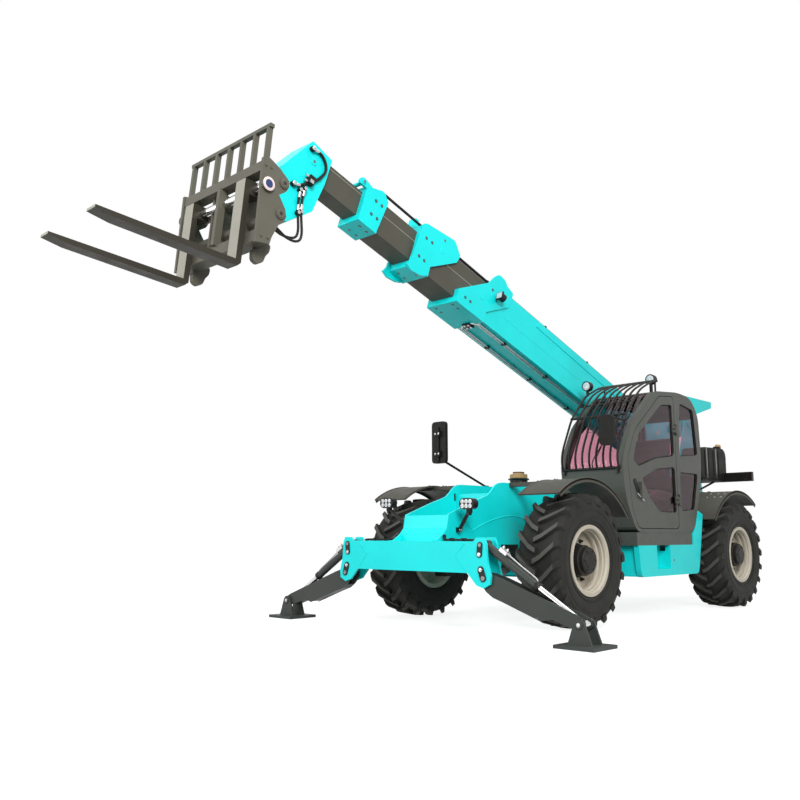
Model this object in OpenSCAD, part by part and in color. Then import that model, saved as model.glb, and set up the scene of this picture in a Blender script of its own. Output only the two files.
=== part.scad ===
// Telescopic handler with front stabilisers, pallet forks and a left-hand cab.
// Millimetres. +X is forward, +Y is left (cab side), +Z is up, ground at z = 0.

/* [Wheels] */
// Distance between the two axles
wheelbase = 3400; // [3300:3500]
// Distance between the left and right tyre centres
track = 1940; // [1900:2000]
// Tyre diameter over the lugs
tyre_diameter = 1260; // [1220:1280]
// Tyre width over the sidewalls
tyre_width = 450; // [420:460]
// Rim flange diameter
rim_diameter = 660; // [640:680]
// Number of lugs on each half of a tyre
tyre_lugs = 20; // [16:22]
// Height of the lugs
lug_height = 42; // [34:46]
// Radius of the wheel spindle
spindle_radius = 60; // [50:70]
// Radius of the steering kingpins
kingpin_radius = 35; // [30:40]

/* [Chassis] */
// Width over the two chassis side plates
chassis_width = 560; // [540:580]
// Thickness of the chassis side plates
chassis_plate = 20; // [16:24]
// Height of the nose of the side plates
nose_height = 1385; // [1350:1400]
// Length of the counterweight
counterweight_length = 250; // [200:320]
// Radius of the fender arches
fender_radius = 885; // [885:900]
// Thickness of the fenders
fender_thickness = 15; // [10:20]

/* [Stabilisers] */
// Length of the leg between its two pins
leg_length = 980; // [940:1000]
// Width of the leg channel
leg_width = 112; // [104:116]
// Length of the foot pad along the machine
pad_length = 344; // [300:380]
// Width of the foot pad across the machine
pad_width = 363; // [320:380]
// Radius of the stabiliser cylinder barrel
leg_barrel_radius = 37; // [34:38]

/* [Boom] */
// Angle of the boom above the horizontal
boom_angle = 18.5; // [17:20]
// Width of the outer boom section
boom_width = 360; // [350:370]
// Height of the outer boom section
boom_height = 490; // [480:500]
// Wall of the boom sections
boom_wall = 10; // [8:12]
// Radius of the boom pivot pin
boom_pin_radius = 50; // [45:55]
// Radius of the lift cylinder rod
lift_rod_radius = 50; // [45:55]
// Radius of the lift cylinder barrel
lift_barrel_radius = 80; // [76:86]
// Radius of the extension cylinder rod
extend_rod_radius = 28; // [24:32]

/* [Carriage] */
// Width of the fork carriage
carriage_width = 1120; // [1080:1180]
// Length of the fork blades from the front of the shank
fork_length = 1100; // [1000:1200]
// Width of each fork
fork_width = 120; // [100:140]
// Distance between the fork centres
fork_spread = 712; // [640:780]
// Thickness of the forks
fork_thickness = 50; // [40:55]
// Number of upright bars in the load guard
guard_bars = 7; // [5:9]
// Backward lean of the carriage
carriage_lean = 6; // [4:8]

/* [Cab] */
// Inner side of the cab
cab_inner = 300; // [300:330]
// Outer side of the cab
cab_outer = 1050; // [1030:1060]
// Thickness of the cab walls
cab_wall = 40; // [36:44]
// Thickness of the window glass
glass_thickness = 6; // [5:8]
// Number of bars in the front screen guard
screen_bars = 9; // [7:11]

/* [Fits] */
// Radial running clearance at the pins
pin_clearance = 0.05; // [0.02:0.01:0.1]
// Gap between sliding boom pads
slide_clearance = 0.4; // [0.3:0.1:0.8]
// Gap around the door
door_gap = 7; // [6:9]

/* [Hidden] */
$fn = 64;
axle_z = tyre_diameter / 2;
axle_x = wheelbase / 2;
king_y = track / 2 - 300;
plate_out = chassis_width / 2;
plate_in = plate_out - chassis_plate;
// Outlines are drawn for this half wheelbase, and the part between the wheels stretches with it
drawn_half = 1700;
drawn_mid = 1000;
grow = axle_x - drawn_half;
function lx(x) = abs(x) < drawn_mid ? x * (drawn_mid + grow) / drawn_mid : x + sign(x) * grow;
function laid(points) = [for (p = points) [lx(p[0]), p[1]]];
// Boom pivot
pivot_drawn = -2400;
pivot_x = lx(pivot_drawn);
pivot_z = 2430;
boom_axis_v = -575;
base_top = boom_axis_v + boom_height / 2;
base_bottom = boom_axis_v - boom_height / 2;
sec2_w = 290;
sec2_h = 405;
sec3_w = 230;
sec3_h = 325;
sec4_w = 180;
sec4_h = 250;
base_front = 4820;
// How far each inner section stands out of the one around it
sec2_out = 690;
sec3_out = 690;
sec4_out = 450;
sec2_front = base_front + sec2_out;
sec3_front = sec2_front + sec3_out;
head_rear = sec3_front + sec4_out;
ext_v = base_top + 60;
// Carriage pivot in the boom frame
tilt_ahead = 450;
tilt_u = head_rear + tilt_ahead;
tilt_v = -1300;
ca = cos(boom_angle);
sa = sin(boom_angle);
tilt_x = pivot_x + tilt_u * ca - tilt_v * sa;
tilt_z = pivot_z + tilt_u * sa + tilt_v * ca;
// Lift cylinder pins
lift_u = 650;
lift_v = -470;
lift_top_x = pivot_x + lift_u * ca - lift_v * sa;
lift_top_z = pivot_z + lift_u * sa + lift_v * ca;
lift_low_drawn = -2073;
lift_low_x = lx(lift_low_drawn);
lift_low_z = 762;
lift_len = norm([lift_top_x - lift_low_x, lift_top_z - lift_low_z]);
lift_angle = atan2(lift_top_z - lift_low_z, lift_top_x - lift_low_x);
lift_barrel_len = 1080;
lift_rod_len = 1100;
// Stabilisers
leg_drawn = 2830;
leg_x = lx(leg_drawn);
leg_pivot_y = 870;
leg_pivot_z = 500;
pad_pin_z = 180;
leg_drop = asin((leg_pivot_z - pad_pin_z) / leg_length);
pad_y = leg_pivot_y + leg_length * cos(leg_drop);
leg_cyl_y = 840;
leg_cyl_z = 780;
leg_cyl_len = norm([pad_y - leg_cyl_y, pad_pin_z - leg_cyl_z]);
leg_cyl_angle = atan2(leg_cyl_z - pad_pin_z, pad_y - leg_cyl_y);
leg_barrel_len = 640;
leg_rod_radius = 24;
leg_rod_len = 620;
beam_half = (leg_width + 14) / 2 + 22;
ear_half = (leg_width + 14) / 2;
pad_pin_radius = 20;
leg_pin_radius = 28;
// Forks
fork_low = -660;
fork_tip_x = 400 + fork_length;
cl = cos(carriage_lean);
sl = sin(carriage_lean);
// Overall ends, which set the origin at the middle of the length
front_end = tilt_x + fork_tip_x * cl - (fork_low + 20) * sl;
tail_u = -796;
tail_v = 646;
rear_end = pivot_x + tail_u * ca - tail_v * sa;
shift_x = (front_end + rear_end) / 2;
// Door and hood hinge lines
door_hinge_drawn = -385;
door_hinge_x = lx(door_hinge_drawn);
door_hinge_y = cab_outer + 15;
cab_mid = (cab_inner + cab_outer) / 2;
hood_hinge_y = -326;
hood_hinge_z = 1420;
roof_slope = 50 / 580;

teal = [0.10, 0.80, 0.78];
grey = [0.30, 0.30, 0.28];
dark = [0.12, 0.12, 0.11];
cream = [0.80, 0.76, 0.68];
steel = [0.72, 0.73, 0.74];
tint = [0.62, 0.42, 0.45, 0.5];

module place() {
  translate([-shift_x, 0, 0]) children();
}

// Prism with its outline in the XZ plane, between two Y values
module side_prism(points, y0, y1) {
  translate([0, y1, 0]) rotate([90, 0, 0]) linear_extrude(height = y1 - y0) polygon(points);
}

// Prism with its outline in the YZ plane, between two X values
module cross_prism(points, x0, x1) {
  translate([x0, 0, 0]) rotate([90, 0, 90]) linear_extrude(height = x1 - x0) polygon(points);
}

module box(x0, x1, y0, y1, z0, z1) {
  translate([x0, y0, z0]) cube([x1 - x0, y1 - y0, z1 - z0]);
}

module rod_x(y, z, r, x0, x1) {
  translate([x0, y, z]) rotate([0, 90, 0]) cylinder(h = x1 - x0, r = r);
}

module rod_y(x, z, r, y0, y1) {
  translate([x, y0, z]) rotate([-90, 0, 0]) cylinder(h = y1 - y0, r = r);
}

module rod_z(x, y, r, z0, z1) {
  translate([x, y, z0]) cylinder(h = z1 - z0, r = r);
}

// Round rod from one point to another
module rod_between(a, b, r) {
  d = b - a;
  translate(a) rotate([0, acos(d[2] / norm(d)), atan2(d[1], d[0])]) cylinder(h = norm(d), r = r);
}

// Outlines with their corners eased over a length d
function eased(a, b, c, d, n) =
  let (p = b + (a - b) * min(d / norm(a - b), 0.45), q = b + (c - b) * min(d / norm(c - b), 0.45))
  [for (k = [0:n]) let (t = k / n) (1 - t) * (1 - t) * p + 2 * t * (1 - t) * b + t * t * q];
function soft(points, d, n = 4) =
  [for (i = [0:len(points) - 1])
    let (m = len(points), a = points[(i + m - 1) % m], b = points[i], c = points[(i + 1) % m])
    for (p = eased(a, b, c, d, n)) p];
function soft_line(points, d, n = 4) = concat(
  [points[0]],
  [for (i = [1:len(points) - 2]) for (p = eased(points[i - 1], points[i], points[i + 1], d, n)) p],
  [points[len(points) - 1]]
);
function turned(points) = [for (i = [len(points) - 1:-1:0]) points[i]];

// Prism and box of the machine's body, which stretch with the wheelbase
module body_prism(points, y0, y1) {
  side_prism(laid(points), y0, y1);
}

module body_box(x0, x1, y0, y1, z0, z1) {
  box(lx(x0), lx(x1), y0, y1, z0, z1);
}

module both_sides() {
  children();
  mirror([0, 1, 0]) children();
}

// Boom frame: local x runs along the boom, local z is square to it
module boom_frame() {
  translate([pivot_x, 0, pivot_z]) rotate([0, -boom_angle, 0]) children();
}

// Carriage frame: local x runs along the forks, from the tilt pin
module carriage_place() {
  translate([tilt_x, 0, tilt_z]) rotate([0, -carriage_lean, 0]) children();
}

// Wheel frame: +Y outboard, origin at the tyre centre
module wheel_place(front, left) {
  x = front ? axle_x : -axle_x;
  if (left) {
    translate([x, track / 2, axle_z]) children();
  } else {
    translate([x, -track / 2, axle_z]) mirror([0, 1, 0]) children();
  }
}

// Chassis
side_outline = [
  [2745, 560], [2745, 882], [2702, 927], [2674, 1058], [2307, 1184], [2153, 1229], [2085, 1252],
  [2035, 1288], [1992, 1328], [1950, 1360], [1900, 1378], [1840, nose_height], [1000, nose_height],
  [700, 1000], [-1250, 1000], [-1500, 1420], [-1900, 1480], [-2260, 2400], [-2330, 2560], [-2460, 2570],
  [-2560, 2380], [-2700, 1400], [-2700, 560],
  [-1890, 560], [-1890, 770], [-1510, 770], [-1510, 440],
  [1510, 440], [1510, 770], [1890, 770], [1890, 560]
];

module chassis_frame() {
  color(teal) place() {
    difference() {
      union() {
        both_sides() {
          body_prism(side_outline, plate_in, plate_out);
          rod_y(pivot_x, pivot_z, 95, 185, plate_in + 1);
        }
        body_box(-1500, 1500, -plate_in - 1, plate_in + 1, 440, 456);
        body_box(-2690, -1900, -plate_in - 1, plate_in + 1, 560, 576);
        body_box(1900, 2700, -plate_in - 1, plate_in + 1, 560, 576);
        // nose cover between the plates
        body_prism([[2722, 562], [2744, 562], [2744, 884], [2701, 930], [2676, 1050], [2656, 1046],
          [2680, 922], [2722, 878]], -plate_in - 1, plate_in + 1);
        body_box(1900, 1940, -plate_in - 1, plate_in + 1, 800, 1280);
        body_box(-2698, -2680, -plate_in - 1, plate_in + 1, 570, 1800);
        body_box(880, 900, -plate_in - 1, plate_in + 1, 450, 980);
        body_box(-1300, -1280, -plate_in - 1, plate_in + 1, 450, 960);
        both_sides() side_prism([[lift_low_x - 110, 570], [lift_low_x + 110, 570],
          [lift_low_x + 85, lift_low_z + 40], [lift_low_x + 40, lift_low_z + 85],
          [lift_low_x - 40, lift_low_z + 85], [lift_low_x - 85, lift_low_z + 40]], 97, 125);
        rod_y(lift_low_x, lift_low_z, 45, -124, 124);
        rod_y(pivot_x, pivot_z, boom_pin_radius, -200, 200);
      }
      // lashing holes in the nose
      both_sides() rod_y(lx(2600), 690, 32, plate_in - 5, plate_out + 5);
    }
  }
}

module ear_outline(hole_low, hole_high) {
  difference() {
    polygon([[690, 545], [790, 440], [870, 415], [940, 450], [950, 520], [915, 640],
      [905, 790], [880, 845], [800, 845], [760, 810], [690, 805]]);
    translate([leg_pivot_y, leg_pivot_z]) circle(r = hole_low);
    translate([leg_cyl_y, leg_cyl_z]) circle(r = hole_high);
  }
}

module front_beam() {
  color(teal) place() {
    difference() {
      box(leg_x - beam_half, leg_x + beam_half, -770, 770, 540, 810);
      box(leg_x - beam_half + 16, leg_x + beam_half - 16, -800, 800, 556, 794);
    }
    both_sides() {
      for (s = [-1, 1]) {
        xa = s > 0 ? leg_x + ear_half : leg_x - beam_half;
        translate([xa, 0, 0]) rotate([90, 0, 90]) linear_extrude(height = 22) ear_outline(10, 10);
      }
      rod_x(leg_pivot_y, leg_pivot_z, leg_pin_radius, leg_x - beam_half - 6, leg_x + beam_half + 6);
      rod_x(leg_cyl_y, leg_cyl_z, 22, leg_x - beam_half - 6, leg_x + beam_half + 6);
      // gussets that carry on the line of the nose plates
      side_prism([[leg_x - beam_half, 808], [leg_x - beam_half, 880], [leg_x - 40, 850], [leg_x + 20, 816],
        [leg_x + beam_half - 6, 812], [leg_x + beam_half - 6, 808]], plate_in, plate_out);
    }
  }
}

module counterweight() {
  x0 = lx(-2700);
  xr = x0 - counterweight_length;
  color(grey) place() {
    difference() {
      union() {
        side_prism([[x0, 620], [x0, 1300], [xr + 110, 1300], [xr + 50, 1285], [xr + 12, 1240], [xr, 1180],
          [xr, 700], [xr + 14, 660], [xr + 60, 620]], -480, 480);
        box(xr - 90, xr + 1, -60, 60, 690, 720);
        box(xr - 90, xr + 1, -60, 60, 790, 820);
      }
      rod_z(xr - 50, 0, 20, 680, 830);
    }
  }
}

// Axles
module axle_body(x) {
  color(dark) place() translate([x, 0, axle_z]) {
    difference() {
      union() {
        box(-90, 90, -king_y + 110, king_y - 110, -85, 85);
        rod_x(0, 0, 185, -150, 150);
        both_sides() {
          box(-90, 90, 190, plate_out, 80, 770 - axle_z);
          box(-75, 75, king_y - 130, king_y - 72, -200, 200);
          for (z = [-200, 150]) {
            box(-70, 70, king_y - 80, king_y, z, z + 50);
            rod_z(0, king_y, 70, z, z + 50);
          }
        }
      }
      both_sides() rod_z(0, king_y, kingpin_radius + pin_clearance, -210, 210);
    }
  }
}

module front_axle() {
  axle_body(axle_x);
}

module rear_axle() {
  axle_body(-axle_x);
}

module knuckle(front, left) {
  color(dark) place() wheel_place(front, left) {
    translate([0, -300, 0]) {
      rod_z(0, 0, 56, -140, 140);
      rod_z(0, 0, kingpin_radius, -198, 198);
    }
    rod_y(0, 0, 90, -300, -240);
    rod_y(0, 0, 135, -240, -130);
    rod_y(0, 0, spindle_radius, -140, 60);
  }
}

module knuckle_front_left() {
  knuckle(true, true);
}

module knuckle_front_right() {
  knuckle(true, false);
}

module knuckle_rear_left() {
  knuckle(false, true);
}

module knuckle_rear_right() {
  knuckle(false, false);
}

rim_r = rim_diameter / 2;
seat_r = rim_r - 28;

module rim(front, left) {
  color(cream) place() wheel_place(front, left) difference() {
    union() {
      rotate([-90, 0, 0]) rotate_extrude() polygon([
        [rim_r, -206], [rim_r, -194], [seat_r, -194], [seat_r, 194], [rim_r, 194], [rim_r, 206],
        [seat_r - 6, 206], [seat_r - 16, 190], [seat_r - 16, -10], [seat_r - 30, -24],
        [150, -40], [150, -58], [seat_r - 16, -44], [seat_r - 16, -206]
      ]);
      rod_y(0, 0, 206, -58, -22);
      rod_y(0, 0, 152, -60, 40);
      rod_y(0, 0, 140, -110, 90);
      rod_y(0, 0, 122, 80, 118);
      rod_y(0, 0, 96, 110, 130);
      for (a = [0:36:324]) rotate([0, a, 0]) {
        rod_y(180, 0, 11, -40, 26, $fn = 24);
        rod_y(180, 0, 17, -40, 8, $fn = 6);
      }
    }
    rod_y(0, 0, spindle_radius + pin_clearance, -120, 62);
  }
}

module rim_front_left() {
  rim(true, true);
}

module rim_front_right() {
  rim(true, false);
}

module rim_rear_left() {
  rim(false, true);
}

module rim_rear_right() {
  rim(false, false);
}

// Lug stations from the tread centre to the shoulder: y, turn in degrees, top radius, foot radius, half width
function lug_stations(t, w) = [
  [-14, 0, t, t - lug_height - 22, 21],
  [62, 3.6, t - 1, t - lug_height - 22, 22],
  [w - 28, 14.4, t - 12, t - lug_height - 30, 25],
  [w + 3, 17.2, t - 48, t - lug_height - 62, 28]
];

function lug_point(r, turn, along, y) =
  [r * cos(turn) - along * sin(turn), y, r * sin(turn) + along * cos(turn)];

function lug_ring(s) = [
  lug_point(s[3], s[1], -s[4] - 9, s[0]),
  lug_point(s[3], s[1], s[4] + 9, s[0]),
  lug_point(s[2], s[1], s[4], s[0]),
  lug_point(s[2], s[1], -s[4], s[0])
];

// One curved lug, from just past the tread centre round to the sidewall
module lug(t, w) {
  rings = [for (s = lug_stations(t, w)) lug_ring(s)];
  points = [for (r = rings) for (p = r) p];
  n = len(rings);
  sides = [for (i = [0:n - 2]) for (k = [0:3]) for (h = [0, 1])
    let (a = 4 * i + k, b = 4 * i + (k + 1) % 4)
    h == 0 ? [b, a, b + 4] : [b + 4, a, a + 4]];
  ends = [[0, 1, 2], [0, 2, 3], [4 * n - 2, 4 * n - 3, 4 * n - 4], [4 * n - 1, 4 * n - 2, 4 * n - 4]];
  polyhedron(points = points, faces = concat(sides, ends));
}

module tyre(front, left) {
  t = tyre_diameter / 2;
  w = tyre_width / 2;
  c = t - lug_height;
  step = 360 / tyre_lugs;
  color(dark) place() wheel_place(front, left) {
    rotate([-90, 0, 0]) rotate_extrude() polygon([
      [seat_r, -194], [rim_r, -194], [rim_r + 20, -w + 16], [430, -w], [510, -w], [c - 26, -w + 18],
      [c - 6, -w + 62], [c, 0], [c - 6, w - 62], [c - 26, w - 18], [510, w], [430, w], [rim_r + 20, w - 16],
      [rim_r, 194], [seat_r, 194]
    ]);
    for (i = [0:tyre_lugs - 1]) {
      rotate([0, -i * step, 0]) lug(t, w);
      rotate([0, -(i + 0.5) * step, 0]) mirror([0, 1, 0]) lug(t, w);
    }
  }
}

module tyre_front_left() {
  tyre(true, true);
}

module tyre_front_right() {
  tyre(true, false);
}

module tyre_rear_left() {
  tyre(false, true);
}

module tyre_rear_right() {
  tyre(false, false);
}

// Fenders
module fender_arch(x, s) {
  zc = 1380 - fender_radius;
  big = fender_radius + 400;
  both_sides() {
    translate([x, track / 2 + 220, zc]) rotate([90, 0, 0]) linear_extrude(height = 460) intersection() {
      difference() {
        circle(r = fender_radius + fender_thickness, $fn = 240);
        circle(r = fender_radius, $fn = 240);
      }
      polygon([[0, 0], [s * big * sin(34), big * cos(34)], [0, big * 1.4],
        [-s * big * sin(52), big * cos(52)]]);
    }
    box(x - 35, x + 35, plate_out, track / 2 + 30, 1345, 1386);
  }
}

module fenders_front() {
  color(grey) place() fender_arch(axle_x, 1);
}

module fenders_rear() {
  color(grey) place() fender_arch(-axle_x, -1);
}

// Cab
cab_outline = soft([
  [580, 890], [780, 1240], [830, 1640], [600, 2040], [90, 2440], [-490, 2490], [-810, 2460],
  [-990, 2270], [-1020, 1770], [-990, 1500], [-770, 950], [-680, 890]
], 110);
cab_inside = soft([
  [560, 930], [738, 1250], [788, 1630], [568, 2012], [75, 2400], [-490, 2450], [-790, 2422],
  [-950, 2255], [-980, 1770], [-950, 1508], [-740, 975], [-660, 930]
], 90);
door_outline = soft([
  [-370, 2425], [-40, 2395], [545, 1960], [715, 1655], [650, 1140], [530, 935], [-370, 935]
], 60);
quarter_high = soft([[-520, 2370], [-860, 2320], [-925, 1790], [-460, 1750]], 50);
quarter_low = soft([[-450, 1570], [-905, 1570], [-770, 1150], [-450, 1130]], 50);
right_window = soft([
  [-40, 2330], [520, 1930], [690, 1650], [690, 1450], [-880, 1450], [-900, 2260], [-780, 2360]
], 60);
door_high = soft([
  [-330, 2330], [-60, 2300], [470, 1930], [600, 1660], [500, 1580], [100, 1690], [-330, 1745]
], 50);
door_low = soft([[-330, 1620], [90, 1580], [430, 1460], [270, 1260], [60, 1110], [-330, 1110]], 50);
door_hole = soft([
  [-370 - door_gap, 2432], [-36, 2402], [551, 1966], [722, 1656], [657, 1138], [534, 928],
  [-370 - door_gap, 928]
], 62);

module cab_shell() {
  color(grey) place() difference() {
    union() {
      body_prism(cab_outline, cab_inner, cab_outer);
      body_box(-680, 580, cab_inner + 30, cab_outer - 4, 755, 892);
      // door hinge brackets with their pins
      for (z = [1250, 2050]) {
        for (dz = [-60, 44]) {
          rod_z(door_hinge_x, door_hinge_y, 14, z + dz, z + dz + 16);
          box(door_hinge_x - 40, door_hinge_x, cab_outer - 1, door_hinge_y + 10, z + dz, z + dz + 16);
        }
        rod_z(door_hinge_x, door_hinge_y, 8, z - 58, z + 58);
      }
    }
    body_box(-640, 540, cab_inner + 70, cab_outer - 44, 740, 850);
    body_prism(cab_inside, cab_inner + cab_wall, cab_outer - cab_wall);
    // door opening
    body_prism(door_hole, cab_outer - 80, cab_outer + 20);
    // rear quarter windows
    body_prism(quarter_high, cab_outer - 80, cab_outer + 20);
    body_prism(quarter_low, cab_outer - 80, cab_outer + 20);
    // right side window
    body_prism(right_window, cab_inner - 20, cab_inner + 80);
    // windscreen with roof light, and rear window
    body_prism([[950, 1560], [700, 1560], [700, 1700], [480, 2030], [20, 2380], [20, 2600], [950, 2600]],
      cab_inner + 50, cab_outer - 60);
    body_prism([[-1100, 1560], [-900, 1560], [-900, 2230], [-1100, 2230]], cab_inner + 60, cab_outer - 70);
  }
}

module cab_glass() {
  g = glass_thickness;
  yo = cab_outer - 24;
  color(tint) place() {
    // quarter lights
    body_prism(quarter_high, yo, yo + g);
    body_prism(quarter_low, yo, yo + g);
    // right side
    body_prism(right_window, cab_inner + 18, cab_inner + 18 + g);
    // windscreen
    body_prism(concat(soft_line([[800, 1560], [806, 1640], [578, 2026], [76, 2420], [20, 2425]], 110),
      turned(soft_line([[800 - g, 1560], [806 - g, 1639], [578 - g, 2026 - g], [74, 2420 - g],
        [20, 2425 - g]], 110))),
      cab_inner + 50, cab_outer - 60);
    // rear window
    body_prism([[-988, 1560], [-1010, 1770], [-984, 2230], [-984 + g, 2230], [-1010 + g, 1770],
      [-988 + g, 1560]], cab_inner + 60, cab_outer - 70);
  }
}

guard_line = [[846, 1560], [868, 1640], [850, 1760], [640, 2150], [330, 2440], [60, 2560], [-60, 2590]];
guard_line_in = [[830, 1560], [852, 1640], [834, 1756], [627, 2140], [322, 2426], [55, 2545], [-62, 2574]];

module cab_guard() {
  y0 = cab_inner + 30;
  y1 = cab_outer - 30;
  step = (y1 - y0 - 16) / (screen_bars - 1);
  outline = concat(soft_line(guard_line, 90), turned(soft_line(guard_line_in, 90)));
  color(dark) place() {
    for (i = [0:screen_bars - 1]) body_prism(outline, y0 + i * step, y0 + i * step + 16);
    body_box(824, 842, y0, y1, 1544, 1564);
    body_box(622, 642, y0, y1, 2126, 2146);
    body_box(-74, -50, y0, y1, 2566, 2590);
    for (y = [y0 + 16, y1 - 32]) {
      body_prism([[-72, 2440 + 162 * roof_slope], [-56, 2440 + 146 * roof_slope], [-56, 2580], [-72, 2580]],
        y, y + 16);
      body_prism([[812.5, 1500], [842, 1500], [842, 1552], [828, 1552], [815.625, 1525]], y, y + 16);
    }
  }
}

module cab_interior() {
  color(dark) place() {
    body_box(-560, 460, cab_inner + cab_wall + 20, cab_outer - cab_wall - 30, 930, 945);
    // console and steering column
    body_prism([[330, 940], [480, 940], [470, 1350], [330, 1440], [300, 1400]],
      cab_inner + 220, cab_outer - 220);
    translate([lx(330), cab_mid, 1410]) rotate([0, -32, 0]) {
      cylinder(h = 90, r = 26);
      translate([0, 0, 88]) difference() {
        cylinder(h = 26, r = 190);
        translate([0, 0, -5]) difference() {
          cylinder(h = 40, r = 166);
          translate([0, 0, -1]) cylinder(h = 42, r = 46);
          translate([-22, -180, -1]) cube([44, 360, 42]);
        }
      }
    }
  }
}

// Seat on its box
module seat() {
  color(dark) place() {
    body_box(-480, -80, cab_inner + 160, cab_outer - 170, 945, 1242);
    body_prism(soft([[-520, 1240], [10, 1240], [30, 1300], [-10, 1370], [-520, 1370]], 40),
      cab_inner + 120, cab_outer - 130);
    body_prism(soft([[-540, 1300], [-400, 1300], [-470, 1990], [-580, 1990]], 45),
      cab_inner + 140, cab_outer - 150);
  }
}

// Door, hinged on the post behind it
module door_frame() {
  color(grey) place() {
    difference() {
      body_prism(door_outline, cab_outer - cab_wall, cab_outer);
      body_prism(door_high, cab_outer - 80, cab_outer + 20);
      body_prism(door_low, cab_outer - 80, cab_outer + 20);
    }
    body_box(470, 500, cab_outer - 1, cab_outer + 35, 1240, 1420);
    // hinge barrels
    for (z = [1250, 2050]) difference() {
      union() {
        rod_z(door_hinge_x, door_hinge_y, 14, z - 38, z + 38);
        box(door_hinge_x, door_hinge_x + 80, cab_outer + 3, door_hinge_y, z - 38, z + 38);
        box(lx(-366), door_hinge_x + 80, cab_outer - 1, door_hinge_y, z - 38, z + 38);
      }
      rod_z(door_hinge_x, door_hinge_y, 8 + pin_clearance, z - 50, z + 50);
    }
  }
}

module door_glass() {
  yo = cab_outer - 24;
  g = glass_thickness;
  color(tint) place() {
    body_prism(door_high, yo, yo + g);
    body_prism(door_low, yo, yo + g);
  }
}

module side_box() {
  yb = cab_outer - 58;
  color(teal) place() difference() {
    union() {
      body_prism([[560, 755], [530, 500], [512, 450], [480, 430], [-760, 430], [-805, 445], [-830, 500],
        [-980, 1100], [-866, 1140], [-782, 944], [-700, 880], [-700, 755]], cab_outer - 60, cab_outer);
      body_box(-600, 500, cab_outer - 330, yb, 432, 690);
      cross_prism([[cab_outer - 330, 690], [cab_outer - 330, 500], [yb, 430], [yb, 690]], lx(400), lx(500));
      // outriggers from the chassis, which carry the cab
      for (x = [lx(-600), lx(400)]) box(x, x + 100, plate_out, yb, 680, 755);
    }
    // step recess
    body_box(-130, 170, cab_outer - 130, cab_outer + 20, 500, 760);
  }
}

// Engine side
module engine() {
  color(dark) place() {
    body_box(-760, 560, -980, -400, 520, 1180);
    body_box(-700, 300, -860, -480, 1180, 1330);
  }
}

module engine_bay() {
  color(teal) place() difference() {
    cross_prism([[-1120, 480], [-1120, 1283], [-1040, 1400], [-300, 1400], [-300, 480]], lx(-860), lx(780));
    cross_prism([[-1102, 498], [-1102, 1277], [-1032, 1382], [-318, 1382], [-318, 498]], lx(-842), lx(762));
    body_box(-842, -60, -1140, -330, 900, 1420);
    // intake grille in the front
    for (z = [640:80:1200]) body_box(740, 800, -1020, -420, z, z + 36);
    // louvres in the fixed side panel
    for (z = [760:70:1110]) body_box(80, 620, -1140, -1090, z, z + 26);
  }
  color(teal) place() for (x = [lx(-832), lx(-90)]) difference() {
    box(x, x + 20, hood_hinge_y - 14, -302, 1398, hood_hinge_z + 14);
    rod_x(hood_hinge_y, hood_hinge_z, 10 + pin_clearance, x - 5, x + 25);
  }
  color(teal) place() for (x = [lx(-600), lx(400)]) box(x, x + 100, -302, -plate_out, 690, 755);
  color(grey) place() body_box(-700, 500, -1000, -420, 497, 520);
}

module engine_hood() {
  color(teal) place() difference() {
    union() {
      cross_prism([[-1140, 894], [-1140, 1290], [-1050, 1422], [-346, 1422], [-346, 1406], [-1043, 1406],
        [-1126, 1284], [-1126, 894]], lx(-850), lx(-52));
      rod_x(hood_hinge_y, hood_hinge_z, 10, lx(-832), lx(-70));
      for (x = [lx(-780), lx(-160)]) box(x, x + 40, -350, hood_hinge_y, 1410, 1422);
    }
    for (z = [960:60:1200]) body_box(-760, -180, -1150, -1110, z, z + 26);
  }
}

module air_cleaner() {
  color([0.65, 0.52, 0.36]) place() {
    rod_z(lx(150), -760, 40, 1400, 1480);
    rod_z(lx(150), -760, 105, 1470, 1600);
    rod_z(lx(150), -760, 70, 1600, 1620);
  }
}

// Rear left tank and lamp bars
module oil_tank() {
  color(dark) place() {
    body_box(-2465, -1830, plate_out, 690, 1562, 1594);
    body_prism([[-2464, 1592], [-2464, 1684], [-2532, 1684], [-2537, 1890], [-2528, 1935], [-2500, 1970],
      [-2460, 1994], [-2410, 2003], [-1900, 1988], [-1850, 1978], [-1812, 1950], [-1796, 1910],
      [-1790, 1592]], 430, 700);
    rod_z(lx(-2400), 640, 44, 1995, 2030);
    translate([lx(-2430), 640, 1985]) rotate([0, -20, 0]) cylinder(h = 70, r = 32);
    // stay down to the fender arm
    body_prism([[-2401, 1564], [-2340, 1564], [-1690, 1386], [-1735, 1386]], 585, 615);
  }
}

module lamp_bars() {
  color(dark) place() both_sides() {
    body_box(-2530, -2470, plate_out, 1060, 1560, 1680);
  }
}

// Oval lamp with two lenses side by side
module twin_lamp(y, z) {
  x = lx(2575);
  box(x, x + 65, y - 38, y + 38, z - 45, z + 45);
  for (s = [-1, 1]) rod_x(y + s * 38, z, 50, x, x + 65);
  // foot that the arm is welded to
  box(x + 6, x + 46, y - 13, y + 13, z - 105, z - 40);
}

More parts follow.
